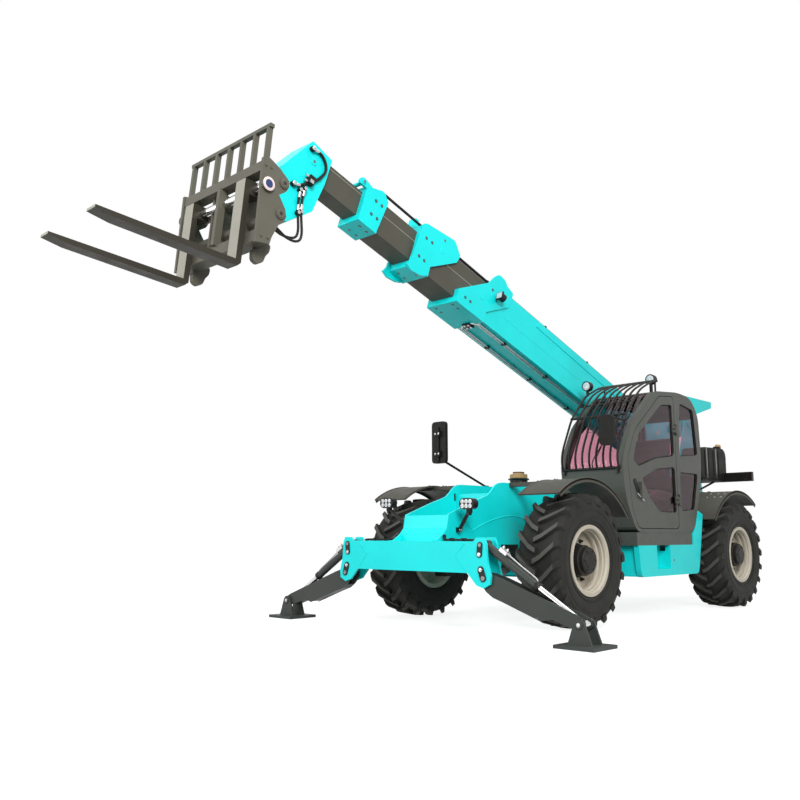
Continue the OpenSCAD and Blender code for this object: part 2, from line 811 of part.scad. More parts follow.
module lamps() {
  color(steel) place() {
    // nose lamps on bent arms
    for (s = [-1, 1]) {
      y0 = s > 0 ? plate_out : -plate_out - 44;
      body_box(2535, 2575, y0, y0 + 44, 892, 936);
    }
    rod_between([lx(2555), plate_out + 30, 916], [lx(2600), 467, 1149 - 62], 12);
    rod_between([lx(2555), -plate_out - 30, 916], [lx(2600), -572, 1182 - 62], 12);
    twin_lamp(467, 1149);
    twin_lamp(-572, 1182);
    // roof lamp on the right corner of the screen guard
    body_prism([[296, 2436], [332, 2420], [332, 2510], [296, 2510]], cab_inner + 46, cab_inner + 62);
    rod_x(cab_inner + 60, 2544, 56, lx(285), lx(345));
    // roof lamp on the left of the roof
    rod_x(cab_outer - 120, 2609, 56, lx(-140), lx(-80));
    body_prism([[-110, 2440 + 200 * roof_slope], [-84, 2440 + 174 * roof_slope], [-84, 2590], [-110, 2590]],
      cab_outer - 135, cab_outer - 105);
  }
}

module mirrors() {
  color(dark) place() {
    // left, on the screen guard
    body_box(676, 1010, cab_outer - 30, cab_outer - 14, 2050, 2066);
    cross_prism(soft([[cab_outer - 145, 1772], [cab_outer - 145, 2082], [cab_outer + 25, 2082],
      [cab_outer + 25, 1772]], 45), lx(980), lx(1000) + 20);
    // right, on a stalk from the engine housing
    body_box(720, 770, -820, -780, 1400, 1440);
    rod_between([lx(745), -800, 1425], [lx(1000) + 555, -800, 1705], 13);
    cross_prism(soft([[-905, 1655], [-905, 2125], [-700, 2125], [-700, 1655]], 45),
      lx(1000) + 545, lx(1000) + 585);
  }
}

// Boom
module tube_section(u0, u1, w, h, wall) {
  difference() {
    box(u0, u1, -w / 2, w / 2, boom_axis_v - h / 2, boom_axis_v + h / 2);
    box(u0 - 10, u1 + 10, -w / 2 + wall, w / 2 - wall,
      boom_axis_v - h / 2 + wall, boom_axis_v + h / 2 - wall);
  }
}

module ring(u0, u1, w, h, wi, hi) {
  difference() {
    box(u0, u1, -w / 2, w / 2, boom_axis_v - h / 2, boom_axis_v + h / 2);
    box(u0 - 10, u1 + 10, -wi / 2, wi / 2, boom_axis_v - hi / 2, boom_axis_v + hi / 2);
  }
}

neck_outline = [
  [-815, 557], [tail_u, tail_v], [200, 313], [282, 262], [1150, base_top - 2], [1150, base_bottom + 2],
  [900, base_bottom], [420, -600], [-120, -150], [-150, 0], [-200, 170], [-401, 282]
];
neck_cap = [
  [-812, 575], [tail_u, tail_v], [200, 313], [282, 262], [850, -131], [838, -149], [273, 242], [192, 293],
  [-782, 618], [-796, 572]
];
// Side plate of the front collar, cut back on a slant, with a hump for the extension cylinder
base_collar = [
  [base_front, base_bottom - 18], [base_front, boom_axis_v - 121], [base_front - 417, base_top - 48],
  [base_front - 460, base_top + 28], [base_front - 484, base_top + 62], [base_front - 520, base_top + 104],
  [base_front - 556, base_top + 125], [base_front - 630, base_top + 122], [base_front - 665, base_top + 108],
  [base_front - 701, base_top + 77], [base_front - 817, base_top + 46], [base_front - 815, base_top - 36],
  [base_front - 781, base_top - 144], [base_front - 330, base_bottom + 13],
  [base_front - 300, base_bottom - 18]
];

module boom_base() {
  c2 = slide_clearance;
  color(teal) place() boom_frame() {
    // tube and front collar with its wear pads
    difference() {
      union() {
        tube_section(1100, base_front - 320, boom_width, boom_height, boom_wall);
        difference() {
          ring(base_front - 460, base_front, boom_width + 36, boom_height + 36,
            sec2_w + 2 * c2, sec2_h + 2 * c2);
          box(base_front - 480, base_front - 310, -boom_width / 2 + boom_wall, boom_width / 2 - boom_wall,
            base_bottom + boom_wall, base_top - boom_wall);
        }
      }
      side_prism([[base_front + 1, boom_axis_v - 121], [base_front - 572, base_top + 70],
        [base_front + 60, base_top + 70], [base_front + 60, boom_axis_v - 121]], -400, 400);
    }
    both_sides() side_prism(base_collar, boom_width / 2 - 1, boom_width / 2 + 18);
    // gooseneck plates with the pivot and lift bosses
    difference() {
      union() {
        both_sides() side_prism(neck_outline, boom_width / 2 - 30, boom_width / 2);
        rod_y(0, 0, 95, -boom_width / 2, boom_width / 2);
        side_prism(neck_cap, -boom_width / 2 + 1, boom_width / 2 - 1);
        both_sides() rod_y(lift_u, lift_v, 45, 96, boom_width / 2 - 20);
      }
      rod_y(0, 0, boom_pin_radius + pin_clearance, -300, 300);
    }
    // saddles for the extension cylinder
    for (u = [1250, base_front - 660]) difference() {
      box(u, u + 60, -70, 70, base_top - 2, ext_v);
      rod_x(0, ext_v, 50, u - 5, u + 65);
    }
  }
}

// Work lamp on the left of the front collar
module boom_lamp() {
  y = boom_width / 2 + 18;
  color(dark) place() boom_frame() {
    rod_y(base_front - 575, base_top - 148, 18, y, y + 40);
    rod_x(y + 62, base_top - 148, 44, base_front - 610, base_front - 545);
  }
}

module extend_barrel() {
  color(grey) place() boom_frame() difference() {
    rod_x(0, ext_v, 50, 560, base_front - 560);
    rod_x(0, ext_v, extend_rod_radius + pin_clearance, 590, base_front);
  }
}

module extend_rod() {
  color(steel) place() boom_frame() rod_x(0, ext_v, extend_rod_radius, 1000, sec2_front - 93);
}

module boom_section_2() {
  c2 = slide_clearance;
  color(grey) place() boom_frame() {
    tube_section(1560, sec2_front - 150, sec2_w, sec2_h, boom_wall);
    ring(1560, 1660, boom_width - 2 * boom_wall - 2 * c2, boom_height - 2 * boom_wall - 2 * c2,
      sec2_w - 2, sec2_h - 2);
  }
}

// Side plate of the second collar, nesting over the slant of the first
collar_2_side = [
  [sec2_front - 8, -766], [sec2_front - 43, -398], [sec2_front - 43, -351], [sec2_front - 62, -318],
  [sec2_front - 106, -292], [sec2_front - 492, -231], [sec2_front - 532, -240], [sec2_front - 563, -271],
  [sec2_front - 630, -333], [sec2_front - 628, -370], [sec2_front - 604, -435], [sec2_front - 271, -692],
  [sec2_front - 236, -816], [sec2_front - 162, -849], [sec2_front - 42, -866], [sec2_front + 30, -838]
];

module collar_2() {
  c2 = slide_clearance;
  color(teal) place() boom_frame() {
    difference() {
      ring(sec2_front - 270, sec2_front - 43, sec2_w + 50, sec2_h + 50, sec3_w + 2 * c2, sec3_h + 2 * c2);
      box(sec2_front - 300, sec2_front - 150, -sec2_w / 2, sec2_w / 2, boom_axis_v - sec2_h / 2,
        boom_axis_v + sec2_h / 2);
    }
    both_sides() side_prism(collar_2_side, sec2_w / 2, sec2_w / 2 + 25);
    // lug that takes the extension rod
    box(sec2_front - 93, sec2_front - 43, -45, 45, boom_axis_v + sec2_h / 2 + 20, ext_v + 45);
  }
}

module boom_section_3() {
  c2 = slide_clearance;
  color(grey) place() boom_frame() {
    tube_section(2050, sec3_front - 150, sec3_w, sec3_h, boom_wall);
    ring(2050, 2150, sec2_w - 2 * boom_wall - 2 * c2, sec2_h - 2 * boom_wall - 2 * c2,
      sec3_w - 2, sec3_h - 2);
  }
}

// Side plate of the third collar with its sheave ear
collar_3_side = [
  [sec3_front, -762], [sec3_front - 33, -418], [sec3_front + 92, -418], [sec3_front + 100, -390],
  [sec3_front + 92, -362], [sec3_front + 71, -346], [sec3_front + 25, -346], [sec3_front - 62, -371],
  [sec3_front - 180, -324], [sec3_front - 216, -326], [sec3_front - 242, -350], [sec3_front - 285, -386],
  [sec3_front - 236, -762]
];

module collar_3() {
  c2 = slide_clearance;
  color(teal) place() boom_frame() {
    difference() {
      ring(sec3_front - 240, sec3_front, sec3_w + 50, sec3_h + 50, sec4_w + 2 * c2, sec4_h + 2 * c2);
      box(sec3_front - 270, sec3_front - 150, -sec3_w / 2, sec3_w / 2, boom_axis_v - sec3_h / 2,
        boom_axis_v + sec3_h / 2);
    }
    both_sides() side_prism(collar_3_side, sec3_w / 2, sec3_w / 2 + 25);
    rod_y(sec3_front + 48, -382, 20, -sec3_w / 2 - 34, sec3_w / 2 + 34);
  }
}

module boom_section_4() {
  c2 = slide_clearance;
  color(grey) place() boom_frame() {
    tube_section(2600, head_rear, sec4_w, sec4_h, boom_wall);
    ring(2600, 2700, sec3_w - 2 * boom_wall - 2 * c2, sec3_h - 2 * boom_wall - 2 * c2,
      sec4_w - 2, sec4_h - 2);
  }
}

head_outline = [
  [0, -445], [240, -412], [450, -830], [410, -1060], [522, -1270], [480, -1372],
  [400, -1372], [230, -1240], [40, -1020], [0, -705]
];
head_inside = [
  [30, -470], [226, -442], [422, -834], [384, -1056], [460, -1180], [310, -1280], [246, -1218],
  [70, -1014], [30, -705]
];

module boom_head() {
  color(teal) place() boom_frame() translate([head_rear, 0, 0]) difference() {
    union() {
      difference() {
        side_prism(head_outline, -152, 152);
        side_prism(head_inside, -136, 136);
        side_prism([[250, -1160], [390, -1150], [370, -1420], [210, -1320]], -136, 136);
      }
      rod_y(tilt_ahead, tilt_v, 75, -152, 152);
    }
    rod_y(tilt_ahead, tilt_v, 35 + pin_clearance, -200, 200);
  }
}

// Hydraulic hoses clipped to the left of the head
hose_y = 172;
function curve(p, i, t) =
  let (a = p[max(i - 1, 0)], b = p[i], c = p[i + 1], d = p[min(i + 2, len(p) - 1)])
  0.5 * (2 * b + (c - a) * t + (2 * a - 5 * b + 4 * c - d) * t * t + (3 * b - a - 3 * c + d) * t * t * t);
function route(p, n) = concat(
  [for (i = [0:len(p) - 2]) for (k = [0:n - 1]) curve(p, i, k / n)],
  [p[len(p) - 1]]
);
function hose_ring(p, t, r) =
  let (e = t / norm(t))
  [for (k = [0:7]) [p[0] + r * cos(45 * k) * e[1], hose_y + r * sin(45 * k), p[1] - r * cos(45 * k) * e[0]]];

module hose(points, r) {
  p = route(points, 4);
  m = len(p);
  rings = [for (i = [0:m - 1]) hose_ring(p[i], p[min(i + 1, m - 1)] - p[max(i - 1, 0)], r)];
  sides = [for (i = [0:m - 2]) for (k = [0:7]) for (h = [0, 1])
    let (a = 8 * i + k, b = 8 * i + (k + 1) % 8)
    h == 0 ? [b, a, b + 8] : [b + 8, a, a + 8]];
  ends = concat(
    [for (k = [1:6]) [0, k, k + 1]],
    [for (k = [1:6]) [8 * (m - 1), 8 * (m - 1) + k + 1, 8 * (m - 1) + k]]
  );
  polyhedron(points = [for (g = rings) for (q = g) q], faces = concat(sides, ends));
}

module fitting(u, v, r) {
  rod_y(u, v, r, 152, hose_y + 16);
}

module head_hoses() {
  color(dark) place() boom_frame() translate([head_rear, 0, 0]) {
    hose([[232, -498], [183, -488], [120, -495], [67, -537], [44, -602], [73, -690], [120, -765],
      [155, -810]], 13);
    hose([[309, -921], [253, -900], [200, -850], [165, -805]], 13);
    hose([[227, -933], [206, -1048], [182, -1134]], 11);
    hose([[190, -895], [178, -1000], [153, -1110]], 11);
    fitting(232, -498, 24);
    fitting(309, -921, 22);
    fitting(227, -933, 20);
    fitting(190, -895, 20);
    fitting(182, -1134, 19);
    fitting(153, -1110, 19);
    box(136, 192, 152, 206, -832, -752);
  }
}

// Lift cylinder, standing between the tower plates
module lift_place() {
  translate([lift_low_x, 0, lift_low_z]) rotate([0, 90 - lift_angle, 0]) children();
}

module lift_barrel() {
  color(grey) place() lift_place() difference() {
    union() {
      rod_z(0, 0, lift_barrel_radius, 40, lift_barrel_len);
      rod_y(0, 0, 78, -90, 90);
    }
    rod_z(0, 0, lift_rod_radius + pin_clearance, 90, lift_barrel_len + 10);
    rod_y(0, 0, 45 + pin_clearance, -100, 100);
  }
}

module lift_rod() {
  color(steel) place() lift_place() difference() {
    union() {
      rod_z(0, 0, lift_rod_radius, lift_len - lift_rod_len, lift_len);
      rod_y(0, lift_len, 75, -90, 90);
    }
    rod_y(0, lift_len, 45, -100, 100);
  }
}

// Carriage
plate_outline = [
  [360, 190], [295, 205], [193, 160], [105, 100], [96, 50], [120, 0], [181, -49], [110, -140], [92, -200],
  [120, -260], [156, -288], [204, -404], [218, -465], [345, -489]
];

module carriage_frame() {
  hw = carriage_width / 2;
  color(grey) place() carriage_place() {
    difference() {
      union() {
        both_sides() {
          side_prism(plate_outline, hw - 25, hw);
          side_prism([[-50, 50], [40, 80], [180, 170], [290, 170], [290, -450], [220, -450], [60, -60],
            [0, -75], [-50, -50]], 165, 190);
          rod_y(0, 0, 75, 165, 190);
          // lower coupler hooks
          side_prism(soft([[120, -470], [112, -410], [180, -385], [240, -470], [272, -500], [264, -572],
            [215, -594], [165, -562], [150, -505]], 22), hw - 170, hw - 130);
        }
        box(255, 350, -hw + 20, hw - 20, 94, 174);
        box(215, 335, -hw + 20, hw - 20, -470, -380);
        box(300, 365, -20, 20, -385, 100);
        rod_y(300, -15, 32, -hw, hw);
        rod_y(300, -15, 56, -hw - 22, -hw + 1);
        rod_y(300, -15, 56, hw - 1, hw + 22);
        rod_y(150, 55, 42, -hw - 12, hw + 12);
        rod_y(155, -197, 42, -hw - 12, hw + 12);
        rod_y(0, 0, 35, -190, 190);
      }
    }
  }
}

module load_guard() {
  hw = carriage_width / 2;
  step = (carriage_width - 84) / (guard_bars - 1);
  color(grey) place() carriage_place() {
    for (i = [0:guard_bars - 1]) {
      y = -hw + 42 + i * step;
      box(285, 325, y - 15, y + 15, 174, 490);
    }
    box(285, 325, -hw + 12, hw - 12, 470, 500);
  }
}

module forks() {
  color(dark) place() carriage_place() both_sides() {
    y = fork_spread / 2;
    difference() {
      union() {
        side_prism([[350, 45], [400, 45], [400, fork_low + fork_thickness],
          [fork_tip_x, fork_low + 40], [fork_tip_x, fork_low + 20], [fork_tip_x - 160, fork_low],
          [380, fork_low], [350, fork_low + 30]], y - fork_width / 2, y + fork_width / 2);
        box(250, 352, y - fork_width / 2, y + fork_width / 2, -70, 45);
      }
      rod_y(300, -15, 32, y - 200, y + 200);
    }
  }
}

// Stabilisers
module leg_place(left) {
  if (left) {
    translate([leg_x, leg_pivot_y, leg_pivot_z]) rotate([-leg_drop, 0, 0]) children();
  } else {
    mirror([0, 1, 0]) translate([leg_x, leg_pivot_y, leg_pivot_z]) rotate([-leg_drop, 0, 0]) children();
  }
}

// Local y runs from the leg pivot to the pad pin
module leg(left) {
  hw = leg_width / 2;
  cheek = hw - 42;
  color(grey) place() leg_place(left) difference() {
    union() {
      for (s = [0, 1]) mirror([s, 0, 0]) {
        cross_prism([[-55, -20], [-40, -60], [40, -105], [120, -125], [leg_length - 340, -112],
          [leg_length - 250, -66], [leg_length - 90, -62], [leg_length + 20, -50], [leg_length + 48, 0],
          [leg_length + 20, 48], [leg_length - 60, 56], [160, 60], [30, 52], [-40, 36]], hw - cheek, hw);
      }
      // bottom web between the cheeks
      cross_prism([[60, -109], [120, -125], [leg_length - 340, -112], [leg_length - 250, -66],
        [leg_length - 120, -63], [leg_length - 120, -48], [leg_length - 256, -51], [leg_length - 346, -97],
        [122, -110], [66, -95]], -hw + 2, hw - 2);
    }
    rod_x(0, 0, leg_pin_radius + pin_clearance, -hw - 5, hw + 5);
    rod_x(leg_length, 0, pad_pin_radius + pin_clearance, -hw - 5, hw + 5);
  }
}

module leg_left() {
  leg(true);
}

module leg_right() {
  leg(false);
}

module leg_cyl_place(left) {
  if (left) {
    translate([leg_x, leg_cyl_y, leg_cyl_z]) rotate([-leg_cyl_angle, 0, 0]) children();
  } else {
    mirror([0, 1, 0]) translate([leg_x, leg_cyl_y, leg_cyl_z]) rotate([-leg_cyl_angle, 0, 0]) children();
  }
}

module leg_barrel(left) {
  color(grey) place() leg_cyl_place(left) difference() {
    union() {
      rod_y(0, 0, leg_barrel_radius, 30, leg_barrel_len);
      rod_x(0, 0, 42, -38, 38);
      // lock valve
      box(-22, 22, 150, 236, 20, 76);
      rod_y(0, 58, 12, 140, 246);
      // gland nut
      rod_y(0, 0, leg_barrel_radius + 3, leg_barrel_len - 40, leg_barrel_len);
    }
    rod_y(0, 0, leg_rod_radius + pin_clearance, 60, leg_barrel_len + 10);
    rod_x(0, 0, 22 + pin_clearance, -60, 60);
  }
}

module leg_barrel_left() {
  leg_barrel(true);
}

module leg_barrel_right() {
  leg_barrel(false);
}

module leg_rod(left) {
  color(steel) place() leg_cyl_place(left) difference() {
    union() {
      rod_y(0, 0, leg_rod_radius, leg_cyl_len - leg_rod_len, leg_cyl_len);
      rod_x(leg_cyl_len, 0, 36, -34, 34);
    }
    rod_x(leg_cyl_len, 0, pad_pin_radius, -60, 60);
  }
}

module leg_rod_left() {
  leg_rod(true);
}

module leg_rod_right() {
  leg_rod(false);
}

module pad(left) {
  hw = leg_width / 2;
  color(grey) place() mirror([0, left ? 0 : 1, 0]) translate([leg_x, pad_y, 0]) {
    box(-pad_length / 2, pad_length / 2, -pad_width / 2, pad_width / 2, 0, 28);
    for (s = [0, 1]) mirror([s, 0, 0]) {
      cross_prism([[-110, 26], [110, 26], [45, pad_pin_z + 20], [20, pad_pin_z + 45], [-20, pad_pin_z + 45],
        [-45, pad_pin_z + 20]], hw + 7, hw + 25);
      rod_x(0, pad_pin_z, pad_pin_radius, hw - 14, hw + 26);
    }
  }
}

module pad_left() {
  pad(true);
}

module pad_right() {
  pad(false);
}

chassis_frame();
front_beam();
counterweight();
front_axle();
rear_axle();
cab_shell();
cab_glass();
cab_guard();
cab_interior();
seat();
side_box();
engine();
engine_bay();
engine_hood();
air_cleaner();
fenders_front();
fenders_rear();
oil_tank();
lamp_bars();
lamps();
mirrors();
boom_base();
boom_lamp();
extend_barrel();
boom_section_2();
collar_2();
extend_rod();
boom_section_3();
collar_3();
boom_section_4();
boom_head();
head_hoses();
lift_barrel();
lift_rod();
carriage_frame();
load_guard();
forks();
knuckle_front_left();
knuckle_front_right();
knuckle_rear_left();
knuckle_rear_right();
rim_front_left();
rim_front_right();
rim_rear_left();
rim_rear_right();
tyre_front_left();
tyre_front_right();
tyre_rear_left();
tyre_rear_right();
leg_left();
leg_right();
leg_barrel_left();
leg_barrel_right();
leg_rod_left();
leg_rod_right();
pad_left();
pad_right();
door_frame();
door_glass();
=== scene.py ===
import math
from itertools import product
import bmesh
import bpy
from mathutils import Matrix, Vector


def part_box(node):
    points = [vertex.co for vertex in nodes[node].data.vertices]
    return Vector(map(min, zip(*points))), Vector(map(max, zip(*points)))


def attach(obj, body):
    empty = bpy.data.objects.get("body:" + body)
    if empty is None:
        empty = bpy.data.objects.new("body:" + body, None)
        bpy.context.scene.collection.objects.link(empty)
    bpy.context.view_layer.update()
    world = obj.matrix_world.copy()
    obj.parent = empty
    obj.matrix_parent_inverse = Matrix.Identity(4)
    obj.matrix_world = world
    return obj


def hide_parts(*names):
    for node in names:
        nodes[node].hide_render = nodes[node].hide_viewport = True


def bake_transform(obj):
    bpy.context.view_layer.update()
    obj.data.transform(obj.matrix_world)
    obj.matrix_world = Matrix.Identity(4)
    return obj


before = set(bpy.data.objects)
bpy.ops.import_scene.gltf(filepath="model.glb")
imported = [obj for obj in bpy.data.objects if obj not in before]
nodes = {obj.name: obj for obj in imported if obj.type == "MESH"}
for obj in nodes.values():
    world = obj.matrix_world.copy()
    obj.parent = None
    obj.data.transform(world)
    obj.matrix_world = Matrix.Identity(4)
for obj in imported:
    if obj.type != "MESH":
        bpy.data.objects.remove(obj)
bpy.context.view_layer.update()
scene = bpy.context.scene
scene.view_settings.view_transform = "Standard"


# Materials

def lin(r, g, b):
    """Linear colour of an sRGB one, written from 0 to 255."""
    parts = []
    for c in (r / 255, g / 255, b / 255):
        parts.append(c / 12.92 if c <= 0.04045 else ((c + 0.055) / 1.055) ** 2.4)
    return (*parts, 1)


def grey(v):
    return (v, v, v, 1)


def scaled(c, k):
    return (min(c[0] * k, 1), min(c[1] * k, 1), min(c[2] * k, 1), 1)


def new_material(name):
    m = bpy.data.materials.new(name)
    m.use_nodes = True
    t = m.node_tree
    return m, t, t.nodes["Principled BSDF"]


def object_coords(t):
    return t.nodes.new("ShaderNodeTexCoord").outputs["Object"]


def noise(t, coords, scale, detail=4, rough=0.55):
    n = t.nodes.new("ShaderNodeTexNoise")
    n.inputs["Scale"].default_value = scale
    n.inputs["Detail"].default_value = detail
    n.inputs["Roughness"].default_value = rough
    t.links.new(coords, n.inputs["Vector"])
    return n.outputs["Fac"]


def ramp(t, fac, low, high, start=0.3, end=0.7):
    """Colour that goes from low to high while fac goes from start to end."""
    r = t.nodes.new("ShaderNodeValToRGB")
    for e, position, color in zip(r.color_ramp.elements, (start, end), (low, high)):
        e.position = position
        e.color = color
    t.links.new(fac, r.inputs["Fac"])
    return r.outputs["Color"]


def bump(t, shader, height, strength, distance):
    b = t.nodes.new("ShaderNodeBump")
    b.inputs["Strength"].default_value = strength
    b.inputs["Distance"].default_value = distance
    t.links.new(height, b.inputs["Height"])
    t.links.new(b.outputs["Normal"], shader.inputs["Normal"])


def paint(name, color, rough=0.35, coat=0.0, peel=0.1, fleck=0.08, spec=0.28):
    """Sprayed paint or plain plastic: a little mottling and orange peel, with soft gloss changes."""
    m, t, p = new_material(name)
    co = object_coords(t)
    tone = ramp(t, noise(t, co, 2.3, 5), scaled(color, 1 - fleck), scaled(color, 1 + fleck))
    t.links.new(tone, p.inputs["Base Color"])
    gloss = ramp(t, noise(t, co, 9, 6, 0.65), grey(rough * 0.85), grey(min(rough * 1.25, 1)), end=0.75)
    t.links.new(gloss, p.inputs["Roughness"])
    bump(t, p, noise(t, co, 260, 2), peel, 0.0004)
    p.inputs["Specular IOR Level"].default_value = spec
    p.inputs["Coat Weight"].default_value = coat
    p.inputs["Coat Roughness"].default_value = 0.12
    return m


def rubber_material():
    m, t, p = new_material("tyre_rubber")
    co = object_coords(t)
    tone = ramp(t, noise(t, co, 6, 6, 0.7), lin(30, 30, 27), lin(46, 45, 42), end=0.75)
    t.links.new(tone, p.inputs["Base Color"])
    p.inputs["Roughness"].default_value = 0.72
    p.inputs["Specular IOR Level"].default_value = 0.25
    bump(t, p, noise(t, co, 90, 6, 0.7), 0.35, 0.002)
    return m


def metal(name, low, high, rough):
    m, t, p = new_material(name)
    tone = ramp(t, noise(t, object_coords(t), 30), grey(low), grey(high))
    t.links.new(tone, p.inputs["Base Color"])
    p.inputs["Metallic"].default_value = 1.0
    p.inputs["Roughness"].default_value = rough
    return m


def glass_material():
    m, t, p = new_material("tinted_glass")
    tone = ramp(t, noise(t, object_coords(t), 1.4, 3), lin(220, 180, 192), lin(228, 190, 201))
    t.links.new(tone, p.inputs["Base Color"])
    p.inputs["Roughness"].default_value = 0.0
    p.inputs["IOR"].default_value = 1.22
    p.inputs["Transmission Weight"].default_value = 1.0
    return m


def lens_material(name, color, glow):
    m, t, p = new_material(name)
    spots = noise(t, object_coords(t), 70, 2)
    tone = ramp(t, spots, scaled(color, 0.85), scaled(color, 1.1), 0.35, 0.65)
    t.links.new(tone, p.inputs["Base Color"])
    p.inputs["Roughness"].default_value = 0.1
    p.inputs["Coat Weight"].default_value = 0.6
    p.inputs["Emission Color"].default_value = color
    p.inputs["Emission Strength"].default_value = glow
    return m


def cloth_material():
    m, t, p = new_material("seat_cloth")
    co = object_coords(t)
    tone = ramp(t, noise(t, co, 14, 5, 0.6), lin(44, 43, 42), lin(60, 58, 56))
    t.links.new(tone, p.inputs["Base Color"])
    p.inputs["Roughness"].default_value = 0.85
    p.inputs["Sheen Weight"].default_value = 0.25
    bump(t, p, noise(t, co, 420, 3), 0.4, 0.001)
    return m


MAT = {
    "teal": paint("teal_paint", lin(16, 224, 224), 0.34, coat=0.06, fleck=0.05, spec=0.2),
    "section": paint("section_paint", lin(80, 78, 69), 0.45, spec=0.16),
    "leg": paint("leg_paint", lin(60, 64, 61), 0.42, spec=0.2),
    "carriage": paint("carriage_paint", lin(94, 92, 81), 0.48, spec=0.22),
    "fork": paint("fork_paint", lin(52, 49, 41), 0.45, spec=0.22),
    # painted highlight: paler paint for the fork faces that look forward, as lit
    "shank": paint("shank_paint", lin(158, 156, 144), 0.5, spec=0.22),
    "cab": paint("cab_paint", lin(78, 80, 74), 0.42, coat=0.05, spec=0.25),
    "black": paint("black_paint", lin(24, 23, 21), 0.42, spec=0.25),
    "cream": paint("rim_paint", lin(194, 186, 170), 0.45, fleck=0.13),
    "hub": paint("hub_paint", lin(34, 33, 30), 0.5, spec=0.2),
    "plastic": paint("black_plastic", lin(24, 23, 20), 0.55, peel=0.3, spec=0.18),
    "fender": paint("fender_plastic", lin(70, 67, 60), 0.5, peel=0.3, spec=0.22),
    "tan": paint("tan_plastic", lin(176, 142, 96), 0.5),
    "iron": paint("engine_iron", lin(60, 60, 58), 0.6, peel=0.5),
    "hose": paint("hose_rubber", lin(26, 25, 23), 0.6, peel=0.3, spec=0.22),
    "seal": paint("window_seal", lin(20, 20, 19), 0.65, peel=0.3, spec=0.2),
    "pipe": paint("pipe_paint", lin(84, 74, 66), 0.4),
    # painted highlight: the pale seam strip stands in for light catching the sections' seams
    "seam": paint("painted_seam_highlight", lin(150, 146, 134), 0.5),
    "ring": paint("ring_paint", lin(226, 208, 206), 0.4),
    "blue": paint("cap_blue", lin(44, 62, 108), 0.4),
    "tread": paint("worn_rubber", lin(80, 79, 75), 0.75, peel=0.4, fleck=0.14, spec=0.2),
    "rubber": rubber_material(),
    "chrome": metal("rod_chrome", 0.62, 0.72, 0.16),
    "zinc": metal("zinc_plate", 0.5, 0.62, 0.32),
    "steel": metal("dark_steel", 0.16, 0.24, 0.36),
    "mirror": metal("mirror_face", 0.78, 0.82, 0.03),
    "glass": glass_material(),
    "lens": lens_material("lamp_lens", lin(196, 204, 208), 0.0),
    "red": lens_material("red_lens", lin(170, 22, 20), 0.05),
    "amber": lens_material("amber_lens", lin(230, 130, 20), 0.05),
    "cloth": cloth_material(),
}

# Looks of the CAD nodes: by the whole name, or else by its start, or else teal
LOOK_OF_NAME = {
    "lift_rod": "chrome", "extend_rod": "steel", "extend_barrel": "section", "lift_barrel": "leg",
    "carriage_frame": "carriage", "load_guard": "carriage", "forks": "fork",
    "cab_shell": "cab", "door_frame": "cab", "cab_glass": "glass", "door_glass": "glass",
    "front_axle": "hub", "rear_axle": "hub", "oil_tank": "plastic", "mirrors": "plastic",
    "cab_interior": "plastic", "seat": "cloth", "head_hoses": "hose", "air_cleaner": "tan",
    "engine": "iron", "lamps": "black", "lamp_bars": "black", "cab_guard": "black",
    "counterweight": "black", "boom_lamp": "black",
}
LOOK_OF_START = {
    "tyre_": "rubber", "rim_": "cream", "leg_rod": "chrome", "boom_section": "section",
    "leg_": "leg", "pad_": "leg", "fenders": "fender", "knuckle": "hub",
}


def look_of(name):
    if name in LOOK_OF_NAME:
        return LOOK_OF_NAME[name]
    for start, look in LOOK_OF_START.items():
        if name.startswith(start):
            return look
    return "teal"


for name, obj in nodes.items():
    obj.data.materials.clear()
    obj.data.materials.append(MAT[look_of(name)])

# The machine's own layout, in millimetres and degrees
WHEEL_X, WHEEL_Y, WHEEL_Z = 1700, 970, 630
BOOM_PIVOT, BOOM_ANGLE = (-2400, 2430), 18.5
TILT_PIN, CARRIAGE_LEAN = (4745.59, 3450.04), 6
LEG_X = 2830
LEG_PIN, LEG_DROP = (870, 500), 19.06
RAM_PIN, RAM_DROP = (840, 780), 32.1
BEAM_BACK, BEAM_FRONT = 2745, 2915
SIDES = (-1, 1)
TURN = 2 * math.pi
FRONT, LEFT, UP = Vector((1, 0, 0)), Vector((0, 1, 0)), Vector((0, 0, 1))

# Second looks on some faces of a node, in metres of the row frame
HUB_RADIUS = 0.2
LUG_TOP = 0.612


def second_look(name, look, chosen):
    mesh = nodes[name].data
    mesh.materials.append(MAT[look])
    for f in mesh.polygons:
        f.material_index = 1 if chosen(f) else 0


def axis_distances(name):
    """Each vertex's distance from the wheel's axis."""
    lo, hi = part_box(name)
    cx, cz = (lo.x + hi.x) / 2, (lo.z + hi.z) / 2
    points = [nodes[name].matrix_world @ v.co for v in nodes[name].data.vertices]
    return [math.hypot(p.x - cx, p.z - cz) for p in points]


def world_normal(name, f):
    return nodes[name].matrix_world.to_3x3() @ f.normal


def faces_inward(name, f, middle):
    inward = (middle - nodes[name].matrix_world @ f.center).normalized()
    return world_normal(name, f).dot(inward) > 0.45


# Hubs are dark inside the cream rims, and the lugs are worn grey on top
for name in nodes:
    if name.startswith("rim_"):
        r = axis_distances(name)
        second_look(name, "hub", lambda f: max(r[i] for i in f.vertices) < HUB_RADIUS)
    if name.startswith("tyre_"):
        r = axis_distances(name)
        second_look(name, "tread", lambda f: min(r[i] for i in f.vertices) > LUG_TOP)

# Painted highlight: the fork faces that look straight forward, the shanks' fronts, are painted paler than
# the blades, as lit from the front
lean = math.radians(CARRIAGE_LEAN)
shank_front = Vector((math.cos(lean), 0, math.sin(lean)))
second_look("forks", "shank", lambda f: world_normal("forks", f).dot(shank_front) > 0.97)

# The cab is dark inside
cab_low, cab_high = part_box("cab_shell")
cab_middle = (cab_low + cab_high) / 2
for name in ("cab_shell", "door_frame"):
    second_look(name, "plastic", lambda f: faces_inward(name, f, cab_middle))


# Places of the layout, in millimetres, as points of the row frame

